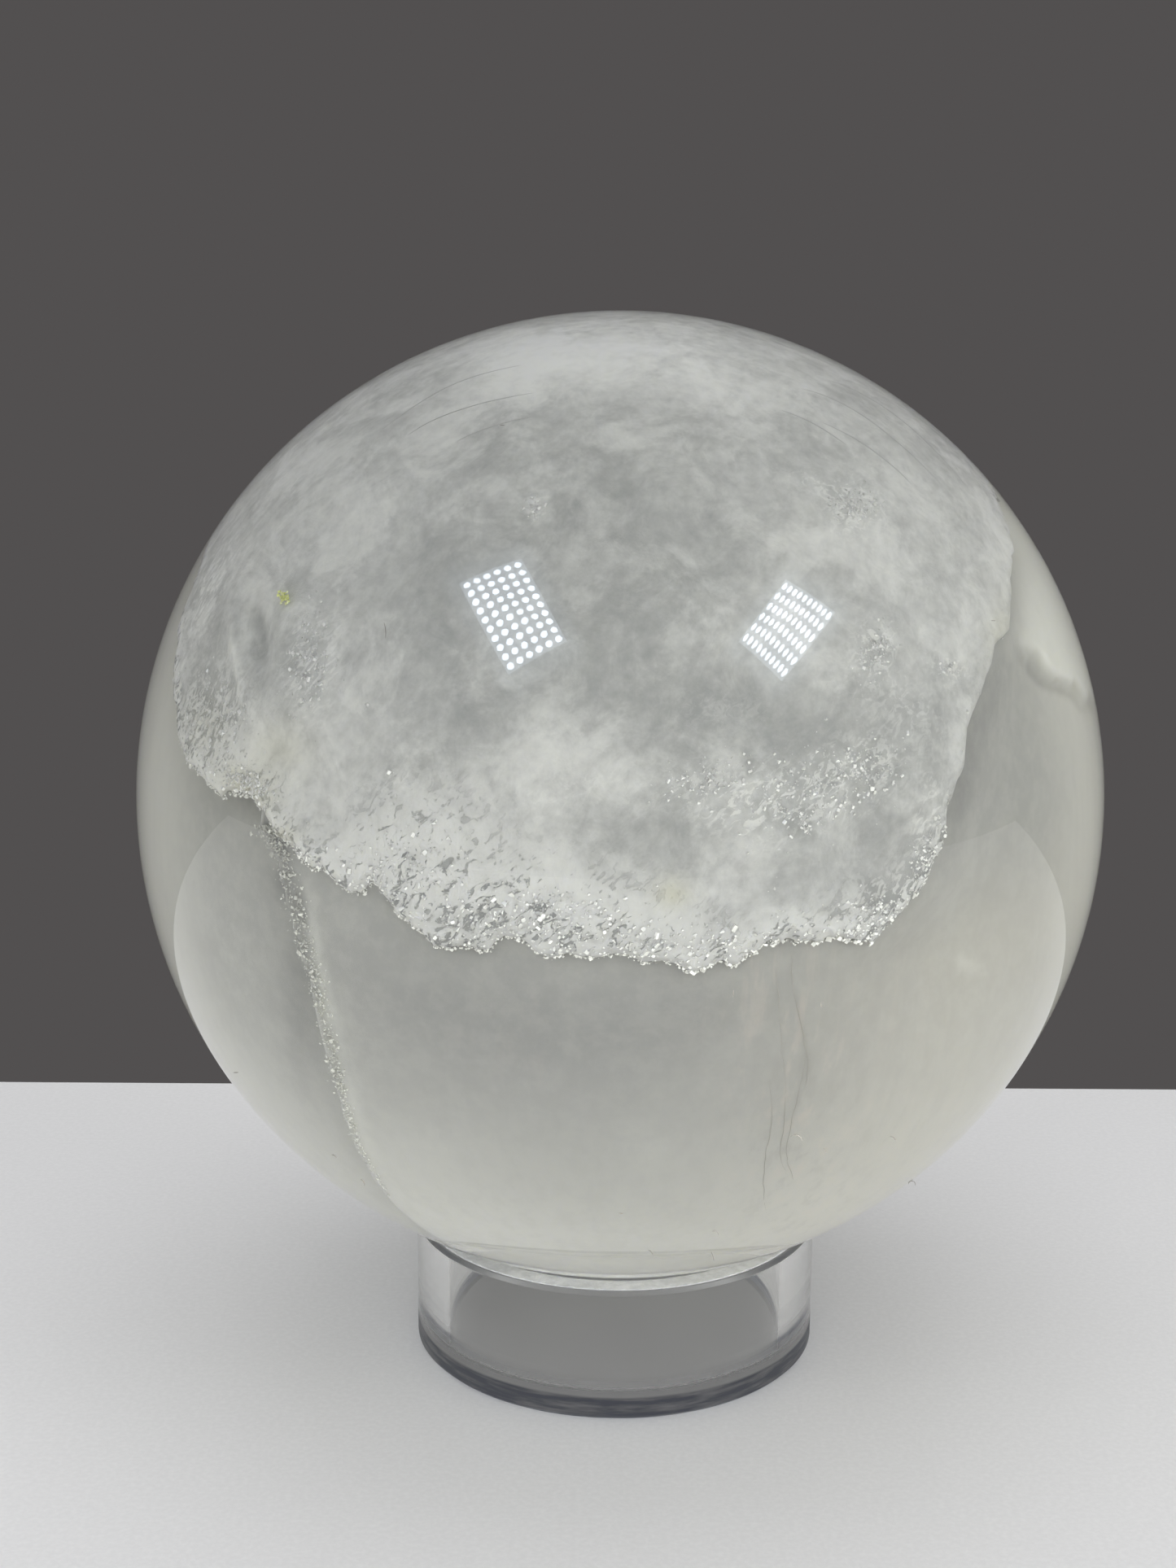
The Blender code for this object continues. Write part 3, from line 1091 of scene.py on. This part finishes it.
# %% Tubes along lines
def thin_tubes(name, paths, radius):
    """One mesh of thin tubes with pointed ends, along lines of points near the ball's skin."""
    points, faces = [], []
    for path in paths:
        along = np.gradient(path, axis=0)
        along /= np.linalg.norm(along, axis=1, keepdims=True)
        side = np.cross(along, path - np.array(BALL_CENTRE))
        side /= np.linalg.norm(side, axis=1, keepdims=True)
        out = np.cross(side, along)
        swell = radius * (0.15 + 0.85 * np.sin(np.linspace(0.0, math.pi, len(path))) ** 0.5)
        for corner in range(6):
            angle = corner * math.tau / 6
            points.append(path + (math.cos(angle) * side + math.sin(angle) * out) * swell[:, None])
        first = sum(len(part) for part in points[:-6])
        for corner in range(6):
            here, there = first + corner * len(path), first + (corner + 1) % 6 * len(path)
            faces += [(here + i, there + i, there + i + 1, here + i + 1) for i in range(len(path) - 1)]
        faces.append([first + corner * len(path) for corner in reversed(range(6))])
        faces.append([first + (corner + 1) * len(path) - 1 for corner in range(6)])
    return add_mesh(name, np.concatenate(points), faces)


def smooth_line(pixels, depth):
    """Directions along a smooth line through a few pixels, seen at one depth."""
    share = np.linspace(0.0, 1.0, 40)
    stops = np.linspace(0.0, 1.0, len(pixels))
    fit = min(3, len(pixels) - 1)
    xs = np.polyval(np.polyfit(stops, [p[0] for p in pixels], fit), share)
    ys = np.polyval(np.polyfit(stops, [p[1] for p in pixels], fit), share)
    return np.array([look_into(x, y, depth) for x, y in zip(xs, ys)])


print("points along a line:", len(smooth_line([(700, 900), (760, 900)], MILK_DEPTH)))

# %% [markdown]
# ## Growth lines
# High in the cloud run faint arcs, the last traces of layers in which the stone grew. They
# lie in the cloud's surface, so they bend with it.

# %% Growth lines
ARC_PIXELS = [
    [(470, 528), (520, 492), (570, 467), (640, 449)], [(500, 535), (560, 505), (655, 483)],
    [(560, 542), (600, 525), (655, 512)], [(985, 478), (1050, 505), (1110, 550), (1160, 600)],
    [(1010, 520), (1070, 553), (1120, 597)], [(1020, 468), (1090, 503), (1150, 555), (1198, 612)],
    [(1055, 455), (1120, 490), (1180, 545)], [(960, 505), (1000, 522), (1040, 548)],
]
ARC_WIDTH = 0.00008
DARKER_SPECKS = 0.75
WELL_INSIDE = 40.0


def arc_path(pixels):
    """A line in the cloud's surface."""
    outward = smooth_line(pixels, MILK_DEPTH)
    depth, _ = milk_surface(outward, np.full(len(outward), WELL_INSIDE))
    return at_depth(outward, depth)


def plain_finish(name, colour, roughness, grain):
    """A dull, slightly uneven colour for the smallest things."""
    recipe = Recipe(name)
    speck = recipe.noise(grain, 3.0, 0.6)
    darker = tuple(DARKER_SPECKS * part for part in colour[:3]) + (1.0,)
    recipe.set(Base_Color=recipe.mix(speck, darker, colour), Roughness=roughness)
    return recipe.material


growth_lines = thin_tubes("growth_lines", [arc_path(line) for line in ARC_PIXELS], ARC_WIDTH)
growth_lines.data.materials.append(
    plain_finish("grey_growth_line", (0.60, 0.60, 0.58, 1.0), 0.8, 900.0)
)
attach(growth_lines, BODY)
print("growth lines:", len(ARC_PIXELS))

# %% [markdown]
# ## Threads in the haze
# A few fine grey threads hang below the cloud at the right. They are hairline cracks in the
# haze, a little wavy, and lie in its surface.

# %% Threads
THREAD_PIXELS = [
    [(972, 1172), (978, 1230), (990, 1300), (984, 1345)],
    [(986, 1300), (980, 1350), (968, 1400), (976, 1452)],
    [(944, 1330), (948, 1380), (940, 1430), (942, 1490)],
    [(958, 1290), (966, 1350), (960, 1400), (966, 1440)],
    [(953, 1190), (957, 1225), (960, 1290)],
]
THREAD_WIDTH = 0.000045
THREAD_WAVE = 0.0035


def thread_path(pixels):
    """A line in the haze's surface, a little wavy."""
    outward = smooth_line(pixels, HAZE_DEPTH)
    wave = THREAD_WAVE * lumpy(outward * BALL_RADIUS, 0.003, 3, 21.7)
    outward = outward + np.stack([wave, 0.0 * wave, 0.0 * wave], axis=-1)
    return at_depth(outward, HAZE_DEPTH + haze_swell(outward))


threads = thin_tubes("hanging_threads", [thread_path(line) for line in THREAD_PIXELS], THREAD_WIDTH)
threads.data.materials.append(plain_finish("grey_thread", (0.56, 0.54, 0.49, 1.0), 0.8, 700.0))
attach(threads, BODY)
print("threads:", len(THREAD_PIXELS))

# %% [markdown]
# ## Dust on the polish
# A few fibres and specks of dust lie on the polished skin. Each is a pixel, half a length
# in pixels, a turn in degrees and a bend. They follow the skin and just touch it.

# %% Dust
FIBRES = [
    (901, 1220, 5, 90, 0.0), (980, 1395, 9, 20, 0.5), (1014, 1414, 4, 60, 0.2),
    (1098, 1398, 5, 40, 0.4), (1121, 1451, 7, 10, 0.9), (1009, 1235, 4, 80, 0.1),
    (876, 1544, 6, 75, 0.1), (800, 1538, 4, 45, 0.3), (880, 1513, 5, 30, 0.5),
    (763, 1491, 3, 0, 0.0), (290, 1318, 3, 0, 0.0), (411, 1420, 4, 30, 0.2),
    (447, 1452, 5, 60, 0.4), (1220, 763, 3, 0, 0.0), (617, 523, 3, 0, 0.0),
    (474, 775, 10, 85, 0.1),
]
FIBRE_WIDTH = 0.00004


def fibre_path(px, py, half_length, turn, bend):
    """A short curved line that lies on the polish."""
    points = []
    for step in np.linspace(-1.0, 1.0, 9):
        angle = math.radians(turn) + bend * step
        x = px + half_length * step * math.cos(angle)
        y = py + half_length * step * math.sin(angle)
        start, along = sight_line(x, y)
        hit = meet_sphere(start, along, BALL_RADIUS) - BALL_CENTRE
        points.append(BALL_CENTRE + hit * (1.0 + FIBRE_WIDTH / BALL_RADIUS))
    return np.array(points)


dust = thin_tubes("dust_fibres", [fibre_path(*fibre) for fibre in FIBRES], FIBRE_WIDTH)
dust.data.materials.append(plain_finish("dust", (0.22, 0.20, 0.18, 1.0), 0.9, 3000.0))
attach(dust, BODY)
print("dust fibres:", len(FIBRES))

# %% [markdown]
# ## A yellow spark
# One flake at the left of the cloud catches the light and shows yellow. It is a small heap of crystals
# like the others, painted bright yellow: a painted glint.

# %% Spark
SPARK_PIXEL = (350, 734)
SPARK_FLAKES = 40
SPARK_DEPTH = 0.968


def make_spark():
    """A small heap of flakes just in front of the cloud."""
    found = []
    for x, y in rng.normal(0.0, 3.0, (SPARK_FLAKES, 2)):
        found.append(np.array(look_into(SPARK_PIXEL[0] + x, SPARK_PIXEL[1] + 1.3 * y, 0.965)))
    centres = at_depth(np.array(found), SPARK_DEPTH)
    return grow_crystals("painted_yellow_glint", centres, np.full(SPARK_FLAKES, 0.00022), 0.8, rng)


spark = make_spark()
# The flakes' bright yellow is a painted glint.
spark.data.materials.append(
    crystal_finish("painted_glint_flake", (0.80, 0.86, 0.25, 1.0), (0.98, 1.0, 0.55, 1.0))
)
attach(spark, BODY)
print("spark:", SPARK_FLAKES, "flakes")

# %% [markdown]
# ## The clear stand
# The stand is turned from clear acrylic: a short cup with a thin wall and a floor. The section is drawn
# once and turned finely enough to shade round. Its finish is clear glass, hazed at the sawn rim and
# where the wall meets the floor. The dark band round the foot, where the floor plate's edge is seen, is
# painted shade for the dark reflection in that edge, and the middle of the floor plate is painted a
# little darker as the ball's shadow inside the cup.

# %% Stand sizes and finish
STAND_WALL = 0.0040
STAND_FLOOR = 0.0025
RIM_CHAMFER = 0.0004
FOOT_CHAMFER = 0.0005
STAND_AROUND = 256
ACRYLIC_IOR = 1.49
CLEAR_WHITE = (1.0, 1.0, 0.99, 1.0)
# The plate's colour is a painted shadow and the foot band's is painted shade, both darker than the
# clear plastic.
PLATE_SHADOW_WHITE = (0.98, 0.98, 0.97, 1.0)
FOOT_SHADE_BAND = (0.07, 0.08, 0.12, 1.0)


def acrylic_finish():
    """Clear plastic with a hazed rim and a scuffed inner corner; a dark band at the foot and a darker
    middle of the floor are painted shade.
    """
    recipe = Recipe("clear_acrylic")
    low = recipe.ease(recipe.height(), STAND_FLOOR + 0.0006, STAND_FLOOR + 0.0002)
    rim = recipe.ease(recipe.height(), STAND_HEIGHT - 0.0008, STAND_HEIGHT - 0.0003)
    foot = recipe.ease(recipe.height(), STAND_FLOOR + 0.0018, STAND_FLOOR + 0.0008)
    # Painted shadow: the middle of the floor plate is a little darker, for the ball's shadow inside the
    # cup.
    middle = recipe.math("MULTIPLY", low, recipe.ease(recipe.from_axis(), 0.019, 0.005))
    outside = recipe.ease(recipe.from_axis(), STAND_RADIUS - 0.002, STAND_RADIUS - 0.001)
    streaks = recipe.noise(500.0, 3.0, 0.6, place=recipe.turned(0.0, (0.3, 0.3, 3.0)))
    uneven = recipe.ease(streaks, 0.2, 0.6, 0.6, 1.0)
    # Painted shade: the outside of the foot turns dark, for the dark reflection seen in the floor
    # plate's edge.
    foot_shade = recipe.math("MULTIPLY", recipe.math("MULTIPLY", low, outside), uneven)
    recipe.set(
        Base_Color=recipe.mix(foot_shade, recipe.mix(middle, CLEAR_WHITE, PLATE_SHADOW_WHITE), FOOT_SHADE_BAND),
        Roughness=recipe.total((rim, 0.35), (foot, 0.40), (0.01, 1.0)),
        IOR=ACRYLIC_IOR,
        Transmission_Weight=1.0,
    )
    recipe.tint_depth((0.92, 0.92, 0.93, 1.0), 4.0)
    recipe.let_lamps_through((0.975, 0.975, 0.97, 1.0))
    return recipe.material


print("stand wall", STAND_WALL, "floor", STAND_FLOOR)

# %% [markdown]
# ## Turning the stand
# The half section runs out over the floor, up the inside, over the rim and down outside.
# It is swept round the upright axis, and the corners are kept sharp.

# %% Stand
def around_axis(section):
    """Rings of points from a half section of radii and heights."""
    angle = np.arange(STAND_AROUND) * math.tau / STAND_AROUND
    return np.array([[(r * math.cos(a), r * math.sin(a), z) for a in angle] for r, z in section])


def make_stand():
    """The clear cup, in place of the measured one."""
    inner = STAND_RADIUS - STAND_WALL
    section = [
        (0.0, STAND_FLOOR),
        (inner - RIM_CHAMFER, STAND_FLOOR),
        (inner, STAND_FLOOR + RIM_CHAMFER),
        (inner, STAND_HEIGHT - RIM_CHAMFER),
        (inner + RIM_CHAMFER, STAND_HEIGHT),
        (STAND_RADIUS - RIM_CHAMFER, STAND_HEIGHT),
        (STAND_RADIUS, STAND_HEIGHT - RIM_CHAMFER),
        (STAND_RADIUS, FOOT_CHAMFER),
        (STAND_RADIUS - FOOT_CHAMFER, 0.0),
        (0.0, 0.0),
    ]
    stand = closed_skin("clear_stand", around_axis(section))
    stand.data.set_sharp_from_angle(angle=math.radians(25))
    stand.data.materials.append(acrylic_finish())
    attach(stand, BODY)
    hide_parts("acrylic_stand")
    return stand


stand = make_stand()
print("stand:", len(stand.data.polygons), "faces")

# %% [markdown]
# ## The frosted top of the wall
# The wall's top was sawn and only lightly finished, so it isn't clear like the rest: it
# catches light as a pale ring under the ball. A thin translucent ring lies on it.

# %% Frosted ring
RING_INSET = 0.0007
RING_RISE = 0.00004
RING_ROUNDING = 0.0003


def frosted_finish():
    """Sawn plastic: pale, scratched and only a little see-through."""
    recipe = Recipe("frosted_acrylic")
    scratches = recipe.noise(700.0, 4.0, 0.7, place=recipe.turned(20.0, (1.0, 1.0, 0.3)))
    worn = recipe.ease(scratches, 0.35, 0.65)
    recipe.set(
        Base_Color=recipe.mix(worn, (0.66, 0.67, 0.71, 1.0), (0.90, 0.91, 0.95, 1.0)),
        Roughness=recipe.ease(scratches, 0.3, 0.7, 0.30, 0.55),
        IOR=ACRYLIC_IOR,
        Transmission_Weight=0.35,
    )
    recipe.bump(scratches, 0.0002)
    recipe.let_lamps_through((0.7, 0.7, 0.71, 1.0))
    return recipe.material


def make_frosted_ring():
    """A thin ring with slightly rounded edges on top of the wall."""
    near = STAND_RADIUS - STAND_WALL + RING_INSET
    far = STAND_RADIUS - RING_INSET
    low, high, top = (STAND_HEIGHT + share * RING_RISE for share in (-1, 1, 1.5))
    section = [
        (near, low),
        (near, high),
        (near + RING_ROUNDING, top),
        (far - RING_ROUNDING, top),
        (far, high),
        (far, low),
    ]
    points = around_axis(section).reshape(-1, 3)
    faces = []
    for row in range(len(section)):
        here, there = row * STAND_AROUND, (row + 1) % len(section) * STAND_AROUND
        for step in range(STAND_AROUND):
            beside = (step + 1) % STAND_AROUND
            faces.append((here + step, here + beside, there + beside, there + step))
    ring = add_mesh("frosted_ring", points, faces)
    ring.data.materials.append(frosted_finish())
    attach(ring, BODY)
    return ring


frosted_ring = make_frosted_ring()
print("frosted ring:", len(frosted_ring.data.polygons), "faces")

# %% [markdown]
# ## The floor
# A plain pale floor carries the object, with its far edge a little way behind it.

# %% Floor
FLOOR_BACK = 0.087
FLOOR_FRONT = -0.9
FLOOR_HALF_WIDTH = 0.8
FLOOR_DARKER = (0.76, 0.76, 0.78, 1.0)
FLOOR_PALER = (0.81, 0.81, 0.83, 1.0)


def make_floor():
    """One flat face with a trace of grain."""
    corners = np.array([
        (-FLOOR_HALF_WIDTH, FLOOR_FRONT, 0.0),
        (FLOOR_HALF_WIDTH, FLOOR_FRONT, 0.0),
        (FLOOR_HALF_WIDTH, FLOOR_BACK, 0.0),
        (-FLOOR_HALF_WIDTH, FLOOR_BACK, 0.0),
    ])
    floor = add_mesh("floor", corners, [(0, 1, 2, 3)])
    recipe = Recipe("pale_floor")
    grain = recipe.noise(1500.0, 3.0, 0.6)
    recipe.set(
        Base_Color=recipe.mix(recipe.ease(grain, 0.3, 0.8), FLOOR_DARKER, FLOOR_PALER),
        Roughness=0.6,
    )
    floor.data.materials.append(recipe.material)


make_floor()
print("floor from", FLOOR_FRONT, "to", FLOOR_BACK)

# %% [markdown]
# ## Soft lamps
# Soft lamps above, in front and at both sides light the stone. The real white table also
# throws light up into it from in front, and a low wide lamp that lies on the floor stands
# for that. The lamps are hidden from the camera and from mirror images.

# %% Lamps
TABLE_GLOW_PLACE = (0.08, -0.13, 0.001)
ABOVE_TABLE_GLOW = Vector((0.08, -0.13, 1.0))
WARM_WHITE = (1.0, 0.99, 0.96)
WHITE = (1.0, 1.0, 1.0)


def soft_lamp(name, place, size, power, colour, aim):
    """A flat, soft lamp of a given width and height that is never seen itself."""
    lamp = bpy.data.lights.new(name, "AREA")
    lamp.shape = "RECTANGLE"
    lamp.size, lamp.size_y = size
    lamp.energy = power
    lamp.color = colour
    holder = bpy.data.objects.new(name, lamp)
    holder.location = place
    holder.rotation_euler = (aim - Vector(place)).to_track_quat("-Z", "Y").to_euler()
    holder.visible_glossy = False
    holder.visible_camera = False
    holder.visible_transmission = False
    bpy.context.scene.collection.objects.link(holder)


soft_lamp("left_lamp", (-0.75, -0.40, 0.45), (0.4, 0.4), 1.3, (1.0, 1.0, 0.99), BALL_CENTRE)
soft_lamp("right_lamp", (0.80, -0.35, 0.42), (0.4, 0.4), 2.15, WARM_WHITE, BALL_CENTRE)
soft_lamp("front_lamp", (-0.05, -1.0, 0.55), (1.0, 0.5), 3.1, WHITE, BALL_CENTRE)
soft_lamp("top_lamp", (0.0, 0.10, 0.9), (0.7, 0.7), 2.5, WHITE, BALL_CENTRE)
soft_lamp("table_glow", TABLE_GLOW_PLACE, (0.34, 0.14), 1.25, (1.0, 1.0, 0.98), ABOVE_TABLE_GLOW)
print("lamps:", [lamp.name for lamp in bpy.data.lights])

# %% [markdown]
# ## The room
# The world round the object is an even grey. Where the camera or a mirror image sees it, it
# is dark, so the polished ball has something to mirror and its clear rim shows. As light,
# also through the clear stone, it is brighter.

# %% Room
ROOM_SEEN = (0.085, 0.08, 0.08, 1.0)
ROOM_LIGHT = (0.46, 0.46, 0.45, 1.0)


def make_room():
    """Even grey all round: dark where the camera or a mirror image sees it, brighter as light."""
    world = bpy.data.worlds.new("grey_room")
    bpy.context.scene.world = world
    world.use_nodes = True
    tree = world.node_tree
    path = tree.nodes.new("ShaderNodeLightPath")
    mirrored = tree.nodes.new("ShaderNodeMath")
    mirrored.operation = "SUBTRACT"
    mirrored.use_clamp = True
    tree.links.new(path.outputs["Is Glossy Ray"], mirrored.inputs[0])
    tree.links.new(path.outputs["Is Transmission Ray"], mirrored.inputs[1])
    seen = tree.nodes.new("ShaderNodeMath")
    seen.operation = "MAXIMUM"
    tree.links.new(path.outputs["Is Camera Ray"], seen.inputs[0])
    tree.links.new(mirrored.outputs[0], seen.inputs[1])
    shade = tree.nodes.new("ShaderNodeMix")
    shade.data_type = "RGBA"
    shade.inputs[6].default_value = ROOM_LIGHT
    shade.inputs[7].default_value = ROOM_SEEN
    tree.links.new(seen.outputs[0], shade.inputs[0])
    tree.links.new(shade.outputs[2], tree.nodes["Background"].inputs["Color"])


make_room()
print("room seen", ROOM_SEEN[:3], "room light", ROOM_LIGHT[:3])

# %% [markdown]
# ## Mirrored lamps
# Two panels of small lamps are mirrored in the front of the ball. Each stands where its
# mirror image falls on the right pixels: the sight line is followed to the polish and
# bounced off it. Only mirror images see the panels, so they add no light of their own.

# %% Mirrored places
PANEL_DISTANCE = 0.55
LEFT_PANEL_PIXELS = [(565, 720), (640, 690), (695, 790), (625, 830)]
RIGHT_PANEL_PIXELS = [(908, 790), (965, 715), (1025, 755), (960, 838)]


def mirrored_place(px, py):
    """Where something must stand for its mirror image to fall on a pixel of the ball."""
    start, along = sight_line(px, py)
    hit = meet_sphere(start, along, BALL_RADIUS)
    normal = (hit - BALL_CENTRE).normalized()
    return hit + (along - 2.0 * along.dot(normal) * normal) * PANEL_DISTANCE


print("left panel's first corner:", [round(v, 3) for v in mirrored_place(*LEFT_PANEL_PIXELS[0])])

# %% [markdown]
# ## The panels' glow
# Each panel has rows of small bright lamps on a bluish ground, and a faint glow spreads
# round it. A share across and along the panel, kept with the mesh, is split into cells, and
# the distance from the middle of its cell tells whether a spot is part of a lamp.

# %% Finish of the panels
DOTS_ACROSS = 6
DOTS_ALONG = 10
GROUND_GLOW = 4.0
DOT_GLOW = 22.0
HALO_GLOW = 2.0
PANEL_BLUE = (0.80, 0.88, 1.0, 1.0)


def panel_finish():
    """Rows of small bright lamps on a bluish ground, with a soft glow round the panel."""
    recipe = Recipe("panel_glow")
    place = recipe.add("ShaderNodeTexCoord").outputs["UV"]
    parts = recipe.add("ShaderNodeSeparateXYZ")
    recipe.join(place, parts.inputs[0])
    across, along = parts.outputs["X"], parts.outputs["Y"]
    offsets = []
    outside = []
    for share, count in ((across, DOTS_ACROSS), (along, DOTS_ALONG)):
        cell = recipe.math("FRACT", recipe.math("MULTIPLY", share, count))
        offset = recipe.math("ABSOLUTE", recipe.math("SUBTRACT", cell, 0.5))
        offsets.append(recipe.math("POWER", offset, 2.0))
        middle = recipe.math("ABSOLUTE", recipe.math("SUBTRACT", share, 0.5))
        outside.append(recipe.math("MAXIMUM", recipe.math("SUBTRACT", middle, 0.5), 0.0))
    dot = recipe.ease(recipe.math("ADD", *offsets), 0.14, 0.06)
    squares = [recipe.math("POWER", part, 2.0) for part in outside]
    reach = recipe.math("SQRT", recipe.math("ADD", *squares))
    inside = recipe.ease(reach, 0.02, 0.0)
    halo = recipe.ease(reach, 0.35, 0.0, 0.0, HALO_GLOW)
    dots = recipe.math("MULTIPLY", inside, dot)
    ground = recipe.total((inside, GROUND_GLOW), (dots, DOT_GLOW), (halo, 1.0))
    recipe.tree.nodes.remove(recipe.shader)
    glow = recipe.add("ShaderNodeEmission")
    glow.inputs["Color"].default_value = PANEL_BLUE
    recipe.join(ground, glow.inputs["Strength"])
    recipe.join(glow.outputs[0], recipe.output.inputs["Surface"])
    return recipe.material


glow = panel_finish()
print("finish:", glow.name)

# %% [markdown]
# ## The panels
# A panel is one flat face, made a little larger than its four corners so that the glow
# round it has room.

# %% Mirror panels
PANEL_MARGIN = 1.7


def make_panel(name, pixels, material):
    """A flat panel whose mirror image has its corners at four pixels, with room for its glow."""
    corners = np.array([mirrored_place(*p) for p in pixels])
    middle = corners.mean(axis=0)
    panel = add_mesh(name, middle + (corners - middle) * PANEL_MARGIN, [(0, 1, 2, 3)])
    low, high = 0.5 - PANEL_MARGIN / 2, 0.5 + PANEL_MARGIN / 2
    shares = panel.data.uv_layers.new(name="shares")
    for loop, share in enumerate([(low, low), (high, low), (high, high), (low, high)]):
        shares.data[loop].uv = share
    panel.data.materials.append(material)
    panel.visible_diffuse = False
    panel.visible_camera = False
    panel.visible_transmission = False
    panel.visible_shadow = False


make_panel("left_panel", LEFT_PANEL_PIXELS, glow)
make_panel("right_panel", RIGHT_PANEL_PIXELS, glow)
print("panels: 2, each of", DOTS_ACROSS, "by", DOTS_ALONG, "dots")

# %% [markdown]
# ## Picture settings
# Light has to get in and out of several clear and milky layers, so it may bounce often, and
# light that is bent by the clear skin is kept. The light tree, which guesses the lamps that
# matter at each spot, left hard steps in the stone's tone beside the low lamp, so it is off.

# %% Picture settings
scene = bpy.context.scene
scene.view_settings.view_transform = "Standard"
scene.cycles.use_denoising = True
scene.cycles.use_light_tree = False
scene.cycles.max_bounces = 12
scene.cycles.transmission_bounces = 12
scene.cycles.caustics_reflective = False
scene.cycles.caustics_refractive = True
print("bounces:", scene.cycles.max_bounces)

# %% [markdown]
